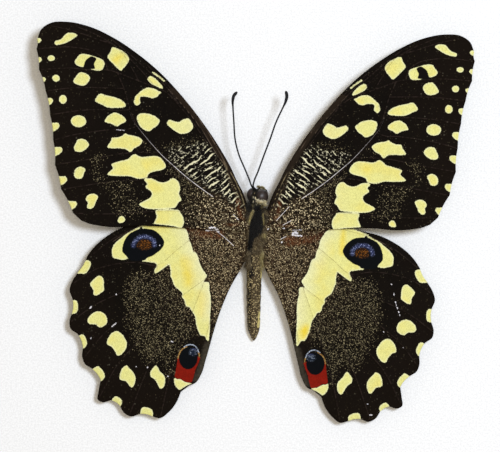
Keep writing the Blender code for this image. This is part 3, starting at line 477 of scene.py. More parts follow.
LEGS = {
    "front": [(0.9, 1.9, 2.0), (1.5, 2.0, 1.2), (3.3, 2.4, 2.0), (4.2, 3.4, 0.8), (4.6, 4.1),
              (5.3, 6.4)],
    "mid": [(0.9, -1.0, 1.6), (1.7, -1.1, 0.9), (4.4, -0.6, 2.0), (5.7, -2.4, 0.7), (5.9, -3.3),
            (6.1, -6.2)],
    "hind": [(0.9, -4.2, 1.8), (1.6, -4.5, 1.0), (3.9, -5.6, 2.0), (4.6, -8.2, 0.7), (4.6, -9.1),
             (4.2, -11.8)],
}
FEMUR_RADIUS = 0.36
TIBIA_RADIUS = 0.22
TARSUS_RADIUS = 0.16


# Lines and regions in a wing's plane

def curve(points, spacing):
    """Smooth curve through the points, as points about `spacing` apart."""
    knots = np.array(points, float)
    gaps = np.linalg.norm(np.diff(knots, axis=0), axis=1)
    along = np.concatenate([[0.0], np.cumsum(gaps)])
    slope = np.gradient(knots, along, axis=0)
    count = max(2, round(along[-1] / spacing) + 1)
    at = np.linspace(0.0, along[-1], count)
    i = np.clip(np.searchsorted(along, at, side="right") - 1, 0, len(gaps) - 1)
    h = gaps[i][:, None]
    u = ((at - along[i]) / gaps[i])[:, None]
    start = (2 * u**3 - 3 * u**2 + 1) * knots[i] + (u**3 - 2 * u**2 + u) * h * slope[i]
    end = (3 * u**2 - 2 * u**3) * knots[i + 1] + (u**3 - u**2) * h * slope[i + 1]
    return start + end


def arc(start, end, depth, count):
    """Points between two ends, bowed by `depth` to the left of the way from start to end."""
    start, end = np.array(start, float), np.array(end, float)
    side = np.array([start[1] - end[1], end[0] - start[0]])
    side /= np.linalg.norm(side)
    at = np.linspace(0, 1, count + 1)[:, None]
    return start + (end - start) * at + side * depth * np.sin(math.pi * at)


def joined(pieces):
    """One closed outline from pieces end to end, leaving out points that nearly repeat."""
    kept = []
    for point in np.concatenate(pieces):
        if not kept or np.linalg.norm(point - kept[-1]) > 0.45 * NET:
            kept.append(point)
    return np.array(kept)


def fore_outline():
    pieces = [curve(FORE_COSTA, NET)]
    ends = [FORE_COSTA[-1], *FORE_VEIN_ENDS]
    for start, end in zip(ends, ends[1:]):
        pieces.append(arc(start, end, -SCALLOP_DEPTH, 18))
    pieces.append(curve(FORE_INNER, NET))
    return joined(pieces)


def hind_outline():
    pieces = [curve(HIND_COSTA, NET)]
    last = HIND_COSTA[-1]
    for lobe in HIND_LOBES:
        pieces.append(arc(last, lobe[0], -HIND_NOTCH_DEPTH, 12))
        pieces.append(curve(lobe, NET))
        last = lobe[-1]
    pieces.append(curve(HIND_INNER, NET))
    return joined(pieces)


def rounded(ring):
    """A closed outline through the points, rounded between them."""
    p = np.array(ring, float)
    before, after, beyond = np.roll(p, 1, axis=0), np.roll(p, -1, axis=0), np.roll(p, -2, axis=0)
    bend = 2 * before - 5 * p + 4 * after - beyond
    twist = 3 * p - before - 3 * after + beyond
    steps = [
        0.5 * (2 * p + (after - before) * t + bend * t**2 + twist * t**3)
        for t in (0.0, 0.25, 0.5, 0.75)
    ]
    return np.stack(steps, axis=1).reshape(-1, 2)


def oval(x, y, half_width, half_height):
    turn = np.linspace(0, 2 * math.pi, 28, endpoint=False)
    return np.stack([x + half_width * np.cos(turn), y + half_height * np.sin(turn)], axis=1)


def depth_in(at, ring):
    """How deep each point lies inside a closed ring; outside it is negative."""
    nearest = np.full(len(at), 1e9)
    inside = np.zeros(len(at), bool)
    for start, end in zip(ring, np.roll(ring, -1, axis=0)):
        step = end - start
        away = at - start
        t = np.clip(away @ step / max(step @ step, 1e-12), 0, 1)
        nearest = np.minimum(nearest, np.hypot(away[:, 0] - t * step[0], away[:, 1] - t * step[1]))
        if step[1]:
            spans = (start[1] > at[:, 1]) != (end[1] > at[:, 1])
            inside ^= spans & (at[:, 0] < start[0] + step[0] * (at[:, 1] - start[1]) / step[1])
    return np.where(inside, nearest, -nearest)


def depth_in_any(at, rings):
    """How deep each point lies inside the nearest of some rings, at least -MARK_REACH."""
    depth = np.full(len(at), -MARK_REACH)
    for ring in rings:
        low, high = ring.min(axis=0) - MARK_REACH, ring.max(axis=0) + MARK_REACH
        close = ((at > low) & (at < high)).all(axis=1)
        if close.any():
            depth[close] = np.maximum(depth[close], depth_in(at[close], ring))
    return depth


def distance_to(at, lines):
    """Distance from each point to the nearest of some lines of points."""
    nearest = np.full(len(at), 1e9)
    for line in lines:
        for start, end in zip(line, line[1:]):
            step = end - start
            away = at - start
            t = np.clip(away @ step / (step @ step), 0, 1)
            nearest = np.minimum(nearest, np.linalg.norm(away - t[:, None] * step, axis=1))
    return nearest


def strength(at, areas):
    """The strongest of some soft-edged areas at each point."""
    found = np.zeros(len(at))
    for amount, soft, ring in areas:
        depth = depth_in(at, rounded(ring))
        found = np.maximum(found, amount * step_at(depth, 0.0, soft))
    return found


def step_at(value, edge, width):
    """From 0 to 1 over a width around an edge."""
    return np.clip((value - edge) / width + 0.5, 0, 1)


def spot_at(at, centre, size):
    """A soft spot: 1 in its middle, fading all around."""
    away = (at[:, : len(centre)] - centre) / size
    return np.exp(-(away**2).sum(axis=1))


def beside(at, line, half):
    """Near 1 within `half` of a line seen from above, fading to 0."""
    return step_at(half - distance_to(at[:, :2], [np.array(line)]), 0.0, half)


# Wings

def fore_height(x, y):
    return FORE_ROOT_HEIGHT + WING_RISE * (x - ROOT_X) + FORE_RISE_FORWARD * y


def hind_height(x, y):
    reach = np.hypot(x - ROOT_X, y + 2) / HIND_REACH
    return HIND_ROOT_HEIGHT + WING_RISE * (x - ROOT_X) - HIND_DROOP * reach**2.5


def placed(x, y, place):
    """Where a point of the wing's own plane lies in the spread specimen, before mirroring."""
    stretch, skew, shift = place["stretch"], place["skew"], place["shift"]
    return stretch[0] * x + skew[0] * y + shift[0], stretch[1] * y + skew[1] * x + shift[1]


def wing_net(outline, veins, fine_lines):
    """Points and triangles that fill a wing's plane, with its veins and fine lines as edges."""
    low, high = outline.min(axis=0), outline.max(axis=0)
    rows = []
    for k, y in enumerate(np.arange(low[1], high[1], NET * 0.866)):
        x = np.arange(low[0] + (k % 2) * NET / 2, high[0], NET)
        rows.append(np.stack([x, np.full(len(x), y)], axis=1))
    grid = np.vstack(rows)
    grid = grid[depth_in(grid, outline) > 0.5 * NET]
    drawn = [*veins.values(), *fine_lines]
    lines = [curve(points, NET) for points in drawn]
    coarse = [curve(points, 1.0) for points in drawn]
    grid = grid[distance_to(grid, coarse) > 0.6 * NET]
    points = [Vector(p) for p in outline]
    edges = []
    for line in lines:
        line = line[depth_in(line, outline) > 0.4 * NET]
        first = len(points)
        points += [Vector(p) for p in line]
        edges += [(first + i, first + i + 1) for i in range(len(line) - 1)]
    points += [Vector(p) for p in grid]
    ring = [list(range(len(outline)))]
    found, _, faces, *_ = geometry.delaunay_2d_cdt(points, edges, ring, 1, 0.01)
    triangles = [(f[0], f[i], f[i + 1]) for f in faces for i in range(1, len(f) - 1)]
    return np.array([tuple(p) for p in found]), np.array(triangles)


def strokes(at, marks):
    """How far each point lies inside the nearest of some short strokes."""
    return np.maximum.reduce([half - distance_to(at, [np.array(line)]) for half, line in marks])


def slid(at, name):
    """Each point as it was before the marks were moved on this wing."""
    x, y = at.T
    (a, b, c), (d, e, f) = MARKS_MOVED[name]
    moved = np.stack([a * x + b * y + c, d * x + e * y + f], axis=1)
    for middle, size, way in MARKS_NUDGED.get(name, []):
        moved = moved + spot_at(at, middle, size)[:, None] * way
    return at - moved


def tooth(inner, tip, outer, low, top):
    """A mark's outline from its inner tip to where the margin cuts it."""
    past = outer + 2.2
    drop = tip - low
    return [
        (past, top), (outer, top), (inner + 0.3, top - 0.05), (inner, tip),
        (inner + 0.2, tip - 0.4 * drop), (inner + 0.6 * (outer - inner), tip - 0.8 * drop),
        (outer, low), (outer + 0.6, low - 0.5), (past, low - 0.5),
    ]


def fore_fields(at):
    """What the forewing's scales show at each point of its plane."""
    pale = [rounded(ring) for ring in FORE_RINGS + [tooth(*size) for size in FORE_TEETH]]
    pale += [oval(*size) for size in FORE_OVALS]
    fields = {
        "pale": np.maximum(
            depth_in_any(at, pale), FORE_STREAK_HALF - distance_to(at, [np.array(FORE_STREAK)])
        ),
        "black": depth_in_any(at, [rounded(FORE_LOBE)]),
        "fold": np.zeros(len(at)),
        "bold": np.ones(len(at)),
        "costal": depth_in(at, np.array(FORE_COSTAL)),
        "dust": strength(at, FORE_DUST),
        "striae": strength(at, [(1.0, 1.2, FORE_STRIAE)]),
        "cream": np.clip((22 - at[:, 0]) / 10, 0, 1) * 0.5,
        "rust": strength(at, FORE_RUST),
        "light_costa": distance_to(at, [curve(line, 0.6) for line in FORE_COSTA_LINES]),
        "brown": np.clip(1.2 - np.hypot(at[:, 0] / 17, (at[:, 1] - 1) / 13), 0, 1),
        "rim": np.clip((at[:, 0] - 31) / 12, 0, 1),
    }
    for name in ("blue", "centre", "red", "ochre", "arc"):
        fields[name] = np.full(len(at), -MARK_REACH)
    return fields


def hind_fields(at):
    """What the hindwing's scales show at each point of its plane."""
    rings = [*HIND_RINGS, *HIND_RIM_MARKS, HIND_BAND, HIND_CRESCENT, HIND_CREAM_PATCH]
    x, y = at.T
    band_edge = rounded(HIND_BAND)[8:104]  # all but its inner end
    blue_line = OCELLUS_BLUE_HALF - distance_to(at, [curve(OCELLUS_BLUE, 0.4)])
    return {
        "pale": depth_in_any(at, [rounded(ring) for ring in rings]),
        "black": depth_in_any(at, [rounded(OCELLUS), oval(*PUPIL)]),
        "dust": strength(at, HIND_DUST),
        "fold": strength(at, HIND_FOLD),
        "bold": np.zeros(len(at)),
        "costal": np.full(len(at), -3.0),
        "striae": np.zeros(len(at)),
        "cream": np.clip(1 - distance_to(at, [band_edge]) / 3.5, 0, 1) * 0.8,
        "rust": strength(at, HIND_RUST),
        "light_costa": distance_to(at, [curve(HIND_COSTA_LINE, 0.5)]),
        "brown": np.clip(1.2 - np.hypot(x / 22, (y + 5) / 24), 0, 1),
        "rim": np.clip((np.hypot(x - 10, y + 12) - 22) / 8, 0, 1),
        "blue": np.maximum(blue_line, depth_in_any(at, [oval(*PUPIL_BLUE)])),
        "centre": depth_in_any(at, [rounded(OCELLUS_RUST)]),
        "red": depth_in_any(at, [rounded(PUPIL_RED)]),
        "ochre": PUPIL_OCHRE_HALF - distance_to(at, [curve(line, 0.3) for line in PUPIL_OCHRES]),
        "arc": PUPIL_ARC_HALF - distance_to(at, [curve(PUPIL_ARC, 0.3)]),
    }


def keep_values(mesh, fields):
    """Stores values for every point under their names, for the shaders."""
    for name, values in fields.items():
        values = np.asarray(values, np.float32)
        if values.ndim == 1:
            mesh.attributes.new(name, "FLOAT", "POINT").data.foreach_set("value", values)
        else:
            made = mesh.attributes.new(name, "FLOAT_VECTOR", "POINT")
            made.data.foreach_set("vector", values.reshape(-1))


def piece(name, points, faces, fields, materials, replaces, slot, face_material=None):
    """A piece of the animal from points in millimetres, riding on the body."""
    mesh = bpy.data.meshes.new(name)
    at = (np.asarray(points, float) - (*MIDDLE, 0)) * MM
    mesh.from_pydata(at, [], faces)
    mesh.update()
    mesh.shade_smooth()
    keep_values(mesh, fields)
    for material in materials:
        mesh.materials.append(material)
    if face_material is not None:
        mesh.polygons.foreach_set("material_index", face_material)
    made = bpy.data.objects.new(name, mesh)
    bpy.context.scene.collection.objects.link(made)
    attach(made, "root")
    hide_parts(*replaces)
    return made


def wing(name, side, place, net, veins, costa, fields, height):
    """A wing: its net twice, for the upper side and the underside, with a wall around."""
    flat, triangles = net
    x, y = flat.T
    near = distance_to(flat, [curve(points, 0.8) for points in veins.values()])
    ends = np.concatenate([triangles[:, [0, 1]], triangles[:, [1, 2]], triangles[:, [2, 0]]])
    keys = {tuple(pair) for pair in ends.tolist()}
    rim = np.array([pair for pair in ends.tolist() if (pair[1], pair[0]) not in keys])
    root = np.clip((6.0 - x) / 3.5, 0, 1)
    half = MEMBRANE / 2 + VEIN_RISE * np.clip(1 - near / VEIN_HALF_WIDTH, 0, 1)
    front = COSTA_RISE * np.exp(-((distance_to(flat, [costa]) / COSTA_HALF_WIDTH) ** 2))
    half = np.maximum(half, MEMBRANE / 2 + front) + (ROOT_THICK - MEMBRANE) / 2 * root
    half[np.unique(rim)] = RIM_HALF_THICK
    sway = 0.10 * np.sin(x / 5.1 + 0.6) * np.sin(y / 6.3) + 0.06 * np.sin(x / 2.9 - y / 3.7)
    sagging = SAG * (1 - np.exp(-((near / 1.1) ** 2)))
    level = height(x, y) - sagging + sway * np.clip((x - 4) / 6, 0, 1)
    out, along = placed(x, y, place)
    top = np.stack([side * out, along, level + half], axis=1)
    bottom = np.stack([side * out, along, level - half], axis=1)
    count = len(flat)
    start, end = rim.T
    walls = [
        np.stack([end, start, start + count], axis=1),
        np.stack([end, start + count, end + count], axis=1),
    ]
    faces = np.concatenate([triangles, triangles[:, ::-1] + count, *walls])
    a, b, c = top[triangles[0]]
    if np.cross(b - a, c - a)[2] < 0:
        faces = faces[:, ::-1]
    below = np.zeros(len(faces), np.int32)
    below[len(triangles) : 2 * len(triangles)] = 1
    values = fields(slid(flat, name))
    values["gold"] = strength(flat, GOLD[name])
    # Rubbed places, with the bare membrane's shine painted on as a highlight
    values["rubbed_glint"] = strokes(flat, RUBBED_GLINTS[name])
    values["light"] = distance_to(flat, [curve(line, 0.6) for line in LIGHT_VEINS[name]])
    values["light"] += 0.007 * np.clip(x - 18.0, 0, None)
    values["vein"] = near
    values["plane"] = np.stack([x, y, np.zeros(count)], axis=1)
    values = {key: np.concatenate([value, value]) for key, value in values.items()}
    points = np.concatenate([top, bottom])
    both = [wing_upper, wing_under]
    piece(name + "_scaled", points, faces, values, both, [name], "wing_scales", below)


# Shader parts

def add(tree, kind, inputs=None, **settings):
    """A new node of this kind, with its settings, and each input set or linked."""
    made = tree.nodes.new("ShaderNode" + kind)
    for key, value in settings.items():
        setattr(made, key, value)
    for key, value in (inputs or {}).items():
        socket = made.inputs[key]
        if isinstance(value, bpy.types.NodeSocket):
            tree.links.new(value, socket)
        else:
            socket.default_value = value
    return made


def maths(tree, operation, *values):
    return add(tree, "Math", dict(enumerate(values)), operation=operation).outputs[0]


def span(tree, value, low, high, start=0.0, end=1.0):
    inputs = {0: value, 1: low, 2: high, 3: start, 4: end}
    return add(tree, "MapRange", inputs, interpolation_type="SMOOTHSTEP").outputs[0]


def shade(colour):
    """A colour as seen on screen, 0 to 255, turned into the shader's values."""
    turned = [c / 255 for c in colour]
    return (*[c / 12.92 if c < 0.04045 else ((c + 0.055) / 1.055) ** 2.4 for c in turned], 1)


def blended(tree, factor, first, second):
    """Two colours mixed; one given as three numbers is a colour as seen on screen."""
    first, second = (shade(c) if isinstance(c, tuple) else c for c in (first, second))
    inputs = {0: factor, 6: first, 7: second}
    return add(tree, "Mix", inputs, data_type="RGBA").outputs[2]


def times(tree, colour, tone):
    return add(tree, "VectorMath", {0: colour, 1: tone}, operation="MULTIPLY").outputs[0]


def noise(tree, place, scale, detail):
    return add(tree, "TexNoise", {"Vector": place, "Scale": scale, "Detail": detail}).outputs[0]


def object_place(tree):
    return add(tree, "TexCoord").outputs["Object"]


def value_of(tree, name, output="Fac"):
    return add(tree, "Attribute", attribute_name=name).outputs[output]


def new_group(name, inputs, outputs):
    tree = bpy.data.node_groups.new(name, "ShaderNodeTree")
    for label, kind in inputs:
        tree.interface.new_socket(label, in_out="INPUT", socket_type="NodeSocket" + kind)
    for label, kind in outputs:
        tree.interface.new_socket(label, in_out="OUTPUT", socket_type="NodeSocket" + kind)
    return tree, tree.nodes.new("NodeGroupInput").outputs, tree.nodes.new("NodeGroupOutput").inputs


def scale_edge_group():
    """The ragged edge of a mark, where scales of two colours meet."""
    tree, given, out = new_group(
        "scale edge",
        [("Place", "Vector"), ("Depth", "Float"), ("Ragged", "Float"), ("Softness", "Float")],
        [("Mask", "Float")],
    )
    lift = maths(tree, "SUBTRACT", noise(tree, given["Place"], 4200.0, 2.0), 0.5)
    lift = maths(tree, "MULTIPLY_ADD", lift, given["Ragged"], given["Depth"])
    low = maths(tree, "MULTIPLY", given["Softness"], -1.0)
    tree.links.new(span(tree, lift, low, given["Softness"]), out["Mask"])
    return tree


def scale_dust_group():
    """Single pale scales strewn over a dark ground."""
    tree, given, out = new_group(
        "scale dust",
        [("Place", "Vector"), ("Density", "Float"), ("Grain", "Float")],
        [("Mask", "Float"), ("Tone", "Float")],
    )
    cells = add(tree, "TexVoronoi", {"Vector": given["Place"], "Scale": given["Grain"]})
    parts = add(tree, "SeparateColor", {0: cells.outputs["Color"]})
    chosen = maths(tree, "SUBTRACT", given["Density"], parts.outputs[0])
    chosen = span(tree, chosen, -0.02, 0.06)
    dot = span(tree, cells.outputs["Distance"], 0.62, 0.38)
    tree.links.new(maths(tree, "MULTIPLY", chosen, dot), out["Mask"])
    tree.links.new(parts.outputs[1], out["Tone"])
    return tree


def scale_rows_group():
    """The rows of scales themselves: a tone for each scale and the step at its end."""
    tree, given, out = new_group(
        "scale rows",
        [("Place", "Vector"), ("Grain", "Float")],
        [("Height", "Float"), ("Tone", "Float")],
    )
    longer = add(tree, "Mapping", {"Vector": given["Place"], "Scale": (1.0, 0.62, 1.0)})
    cells = add(tree, "TexVoronoi", {"Vector": longer.outputs[0], "Scale": given["Grain"]})
    parts = add(tree, "SeparateColor", {0: cells.outputs["Color"]})
    tree.links.new(maths(tree, "SUBTRACT", 1.0, cells.outputs["Distance"]), out["Height"])
    tree.links.new(parts.outputs[2], out["Tone"])
    return tree


scale_edge = scale_edge_group()
scale_dust = scale_dust_group()
scale_rows = scale_rows_group()


def grouped(tree, group, inputs):
    return add(tree, "Group", inputs, node_tree=group).outputs


def mask_of(tree, place, field, ragged, soft, shift=0.0):
    """Where a mark shows, from the depth that is kept under the field's name."""
    depth = maths(tree, "ADD", value_of(tree, field), shift)
    inputs = {"Place": place, "Depth": depth, "Ragged": ragged, "Softness": soft}
    return grouped(tree, scale_edge, inputs)["Mask"]


def dusted(tree, place, density, grain):
    return grouped(tree, scale_dust, {"Place": place, "Density": density, "Grain": grain})


def finished(tree, shader, colour, height, strength, distance):
    """Gives the shader its colour and the fine relief of its surface."""
    tree.links.new(colour, shader.inputs["Base Color"])
    bump = add(tree, "Bump", {"Height": height, "Strength": strength, "Distance": distance})
    tree.links.new(bump.outputs[0], shader.inputs["Normal"])


def new_material(name, roughness, specular=0.5):
    material = bpy.data.materials.new(name)
    material.use_nodes = True
    tree = material.node_tree
    shader = tree.nodes["Principled BSDF"]
    shader.inputs["Roughness"].default_value = roughness
    shader.inputs["Specular IOR Level"].default_value = specular
    return material, tree, shader


def striae_masks(tree):
    """Rows of short broken dashes across the cell, and where they break up into specks."""
    plane = value_of(tree, "plane", "Vector")
    warp = noise(tree, plane, 0.40, 2.0)
    across, along = (
        add(tree, "VectorMath", {0: plane, 1: way}, operation="DOT_PRODUCT").outputs["Value"]
        for way in (STRIAE_ACROSS, STRIAE_ALONG)
    )
    row = maths(tree, "MULTIPLY_ADD", warp, 1.6, maths(tree, "DIVIDE", across, STRIAE_GAP))
    number = maths(tree, "FLOOR", row)
    away = maths(tree, "ABSOLUTE", maths(tree, "SUBTRACT", maths(tree, "FRACT", row), 0.5))
    spot = add(tree, "CombineXYZ", {0: along, 1: maths(tree, "MULTIPLY", number, 9.7)})
    broken = noise(tree, spot.outputs[0], 0.50, 0.5)
    width = span(tree, broken, 0.38, 0.54, 0.0, 0.135)
    dash = span(tree, maths(tree, "SUBTRACT", width, away), -0.03, 0.05)
    ending = span(tree, across, *STRIAE_END)
    scrap = noise(tree, plane, 2.1, 1.0)
    lost = maths(tree, "MULTIPLY", ending, span(tree, scrap, 0.57, 0.50))
    dash = maths(tree, "MULTIPLY", dash, maths(tree, "SUBTRACT", 1.0, lost))
    return maths(tree, "MULTIPLY", dash, value_of(tree, "striae")), ending


def wing_material(name, under):
    """The wing's scales: dark ground, pale dust, marks and eyespots, one laid over the other."""
    material, tree, shader = new_material(name, 0.70, 0.03)
    place = object_place(tree)
    blotch = noise(tree, place, 260.0, 3.0)
    fine = noise(tree, place, 1500.0, 2.0)
    dark = blended(tree, blotch, (9, 7, 5), (21, 15, 10))
    dark = blended(tree, value_of(tree, "rim"), dark, (20, 14, 9))
    warm = blended(tree, span(tree, fine, 0.35, 0.65), (22, 15, 9), (72, 56, 38))
    colour = blended(tree, maths(tree, "MULTIPLY", value_of(tree, "brown"), 0.75), dark, warm)
    if under:
        colour = blended(tree, 0.35, colour, (110, 92, 60))

    # Pale dust: dull specks on the outer part, brighter ones near the body
    uneven = span(tree, fine, 0.25, 0.6, 0.65, 1.25)
    patchy = maths(tree, "MULTIPLY", value_of(tree, "dust"), uneven)
    inner = span(tree, value_of(tree, "brown"), 0.1, 0.5)
    outer = maths(tree, "SUBTRACT", 1.0, inner)
    specks = dusted(tree, place, maths(tree, "MULTIPLY", patchy, outer), 5300.0)
    level = maths(tree, "POWER", specks["Tone"], 1.4)
    dull = blended(tree, level, (38, 33, 21), (168, 155, 118))
    colour = blended(tree, specks["Mask"], colour, dull)
    bold = value_of(tree, "bold")
    grain = maths(tree, "MULTIPLY_ADD", bold, -1200.0, 5400.0)
    specks = dusted(tree, place, maths(tree, "MULTIPLY", patchy, inner), grain)
    level = maths(tree, "POWER", specks["Tone"], maths(tree, "MULTIPLY_ADD", bold, -0.5, 1.7))
    palest = blended(tree, bold, (230, 208, 162), (250, 230, 184))
    bright = blended(tree, level, (70, 56, 37), palest)
    colour = blended(tree, specks["Mask"], colour, bright)
    colour = blended(tree, value_of(tree, "striae"), colour, (15, 11, 9))
    dashes, ending = striae_masks(tree)
    strewn = maths(tree, "MULTIPLY_ADD", ending, 0.14, 0.17)
    flecks = dusted(tree, place, maths(tree, "MULTIPLY", value_of(tree, "striae"), strewn), 3100.0)
    colour = blended(tree, flecks["Mask"], colour, (170, 164, 140))
    colour = blended(tree, dashes, colour, (228, 222, 184))
    scattered = dusted(tree, place, 0.012, 4600.0)
    colour = blended(tree, scattered["Mask"], colour, (110, 100, 72))
    veined = span(tree, value_of(tree, "vein"), 0.17, 0.04)
    veined = maths(tree, "MULTIPLY", veined, span(tree, fine, 0.35, 0.65, 0.0, 0.4))
    colour = blended(tree, veined, colour, (66, 53, 48))
    fold = blended(tree, fine, (36, 33, 27), (76, 69, 57))
    colour = blended(tree, value_of(tree, "fold"), colour, fold)

    # Rust tints, the front edge and the lines where light falls on a vein
    glow = maths(tree, "MULTIPLY", value_of(tree, "rust"), span(tree, fine, 0.3, 0.65, 0.25, 0.85))
    ember = blended(tree, specks["Tone"], (52, 25, 13), (122, 73, 41))
    ember = blended(tree, span(tree, value_of(tree, "brown"), 0.35, 0.80), (56, 24, 14), ember)
    colour = blended(tree, glow, colour, ember)
    strip = blended(tree, value_of(tree, "brown"), (40, 31, 23), (13, 10, 8))
    costal = span(tree, value_of(tree, "costal"), -0.05, 0.2, 0.0, 0.85)
    colour = blended(tree, costal, colour, strip)
    line = span(tree, value_of(tree, "light"), 0.095, 0.03)
    line = maths(tree, "MULTIPLY", line, span(tree, fine, 0.3, 0.5, 0.4, 1.0))
    colour = blended(tree, line, colour, (226, 220, 220))

    # The pale marks, with their hem, stray dark scales and the veins across them
    gold = maths(tree, "MULTIPLY_ADD", span(tree, blotch, 0.45, 0.7), 0.25, value_of(tree, "gold"))
    lemon = blended(tree, gold, (225, 221, 141), (231, 206, 68))
    lemon = blended(tree, value_of(tree, "cream"), lemon, (229, 227, 180))
    hem = span(tree, value_of(tree, "pale"), 0.45, 0.1)
    lemon = blended(tree, maths(tree, "MULTIPLY", hem, 0.6), lemon, (232, 232, 188))
    if under:
        lemon = blended(tree, 0.5, lemon, (240, 234, 196))
    sparse = span(tree, value_of(tree, "pale"), 0.5, 0.0, 0.004, 0.10)
    stray = dusted(tree, place, sparse, 3600.0)
    lemon = blended(tree, maths(tree, "MULTIPLY", stray["Mask"], 0.6), lemon, (120, 104, 60))
    vein_line = span(tree, value_of(tree, "vein"), 0.12, 0.03)
    vein_line = maths(tree, "MULTIPLY", vein_line, span(tree, fine, 0.35, 0.6, 0.15, 0.6))
    lemon = blended(tree, vein_line, lemon, (130, 112, 62))
    grown = 0.30 if under else -0.025
    colour = blended(tree, mask_of(tree, place, "pale", 0.34, 0.05, grown), colour, lemon)
    horn = blended(tree, value_of(tree, "brown"), (88, 74, 62), (178, 160, 116))
    line = span(tree, value_of(tree, "light_costa"), 0.15, 0.05)
    line = maths(tree, "MULTIPLY", line, span(tree, fine, 0.3, 0.6, 0.4, 0.95))
    colour = blended(tree, line, colour, horn)

    # The eyespots, and the forewing's dark lobe
    blood = blended(tree, fine, (104, 20, 9), (144, 28, 15))
    colour = blended(tree, mask_of(tree, place, "red", 0.25, 0.08), colour, blood)
    black = blended(tree, bold, (10, 12, 15), (17, 12, 10))
    colour = blended(tree, mask_of(tree, place, "black", 0.22, 0.07), colour, black)
    glint = dusted(tree, place, 0.55, 4300.0)
    ember = blended(tree, glint["Mask"], (44, 26, 14), (126, 76, 26))
    colour = blended(tree, mask_of(tree, place, "centre", 0.9, 0.35), colour, ember)
    patch = span(tree, value_of(tree, "red"), -1.5, -1.2)
    lilac = blended(tree, patch, (158, 168, 212), (150, 160, 176))
    steel = blended(tree, patch, (48, 54, 86), (26, 34, 48))
    steel = blended(tree, maths(tree, "MULTIPLY", glint["Mask"], glint["Tone"]), steel, lilac)
    colour = blended(tree, mask_of(tree, place, "blue", 0.8, 0.32), colour, steel)
    tan = blended(tree, glint["Tone"], (122, 74, 28), (182, 152, 92))
    colour = blended(tree, mask_of(tree, place, "ochre", 0.35, 0.07), colour, tan)
    colour = blended(tree, mask_of(tree, place, "arc", 0.3, 0.07), colour, (178, 188, 204))
    # Painted highlight: near-white strokes where rubbed places shine, on the upper side only
    if not under:
        colour = blended(tree, mask_of(tree, place, "rubbed_glint", 0.6, 0.06), colour, (226, 222, 226))

    rows = grouped(tree, scale_rows, {"Place": place, "Grain": 8200.0})
    variety = span(tree, rows["Tone"], 0.0, 1.0, 0.84, 1.10)
    colour = times(tree, colour, variety)
    raised = maths(tree, "MULTIPLY_ADD", fine, 0.8, maths(tree, "MULTIPLY", rows["Height"], 0.5))
    finished(tree, shader, colour, raised, 0.35, 0.05 * MM)
    return material


def skin_material():
    """Black scales with brown and yellow ones, by the body's own marks."""
    material, tree, shader = new_material("body scales", 0.68, 0.12)
    place = object_place(tree)
    fine = noise(tree, place, 2600.0, 2.0)
    ground = blended(tree, fine, (12, 10, 9), (30, 26, 22))
    brown = blended(tree, fine, (36, 28, 19), (112, 95, 66))
    colour = blended(tree, mask_of(tree, place, "brown", 1.6, 0.45, -0.5), ground, brown)
    specks = dusted(tree, place, value_of(tree, "grey"), 4200.0)
    colour = blended(tree, specks["Mask"], colour, (196, 176, 128))
    light = blended(tree, fine, (176, 158, 92), (226, 210, 140))
    light = blended(tree, value_of(tree, "cream"), light, (246, 234, 196))
    colour = blended(tree, mask_of(tree, place, "yellow", 0.9, 0.25, -0.5), colour, light)
    rows = grouped(tree, scale_rows, {"Place": place, "Grain": 7000.0})
    variety = span(tree, rows["Tone"], 0.0, 1.0, 0.75, 1.2)
    colour = times(tree, colour, variety)
    raised = maths(tree, "MULTIPLY_ADD", fine, 0.6, rows["Height"])
    finished(tree, shader, colour, raised, 0.5, 0.06 * MM)
    return material


def coat_material():
    """Hair in the colour of the skin's marks, each of its own tone and lighter at its tip."""
    material, tree, shader = new_material("body hair", 0.50, 0.25)
    tone = maths(tree, "POWER", value_of(tree, "tone"), 2.0)
    dark = blended(tree, tone, (12, 11, 11), (58, 58, 58))
    brown = blended(tree, tone, (76, 62, 44), (190, 170, 132))
    light = blended(tree, tone, (206, 186, 112), (240, 228, 176))
    light = blended(tree, value_of(tree, "cream"), light, (250, 240, 208))
    colour = blended(tree, value_of(tree, "brown"), dark, brown)
    colour = blended(tree, value_of(tree, "yellow"), colour, light)
    tips = blended(tree, value_of(tree, "tip"), (160, 160, 160), (255, 255, 255))
    colour = times(tree, colour, tips)
    tree.links.new(colour, shader.inputs["Base Color"])
    return material


def eye_material():
    """Small domed facets on clouded brown, darker around the edge."""
    material, tree, shader = new_material("compound eye", 0.42, 0.5)
    place = object_place(tree)
    cloud = noise(tree, place, 900.0, 2.0)
    ring = value_of(tree, "rim")
    colour = blended(tree, span(tree, cloud, 0.35, 0.65), (24, 17, 15), (66, 50, 48))
    colour = blended(tree, ring, colour, (14, 11, 10))
    facets = add(tree, "TexVoronoi", {"Vector": place, "Scale": 17000.0, "Randomness": 0.25})
    colour = blended(tree, span(tree, facets.outputs["Distance"], 0.3, 0.6), colour, (30, 22, 20))
    domes = maths(tree, "SUBTRACT", 1.0, facets.outputs["Distance"])
    finished(tree, shader, colour, domes, 0.25, 0.03 * MM)
    return material


def horn_material(name, dark, light, roughness):
    """Fine scales over horn, clouded between two colours, with some lighter ones."""
    material, tree, shader = new_material(name, roughness, 0.20)
    place = object_place(tree)
    cloud = noise(tree, place, 1400.0, 3.0)
    rows = grouped(tree, scale_rows, {"Place": place, "Grain": 9000.0})
    colour = blended(tree, cloud, dark, light)
    specks = dusted(tree, place, 0.10, 6500.0)
    colour = blended(tree, specks["Mask"], colour, tuple(c * 1.8 for c in light))
    finished(tree, shader, colour, rows["Height"], 0.4, 0.04 * MM)
    return material


def floor_material():
    material, tree, shader = new_material("pale board", 0.85, 0.2)
    place = object_place(tree)
    grain = noise(tree, place, 2600.0, 1.0)
    colour = blended(tree, span(tree, grain, 0.3, 0.7), (236, 236, 237), (248, 248, 249))
    finished(tree, shader, colour, grain, 0.3, 0.2 * MM)
    return material


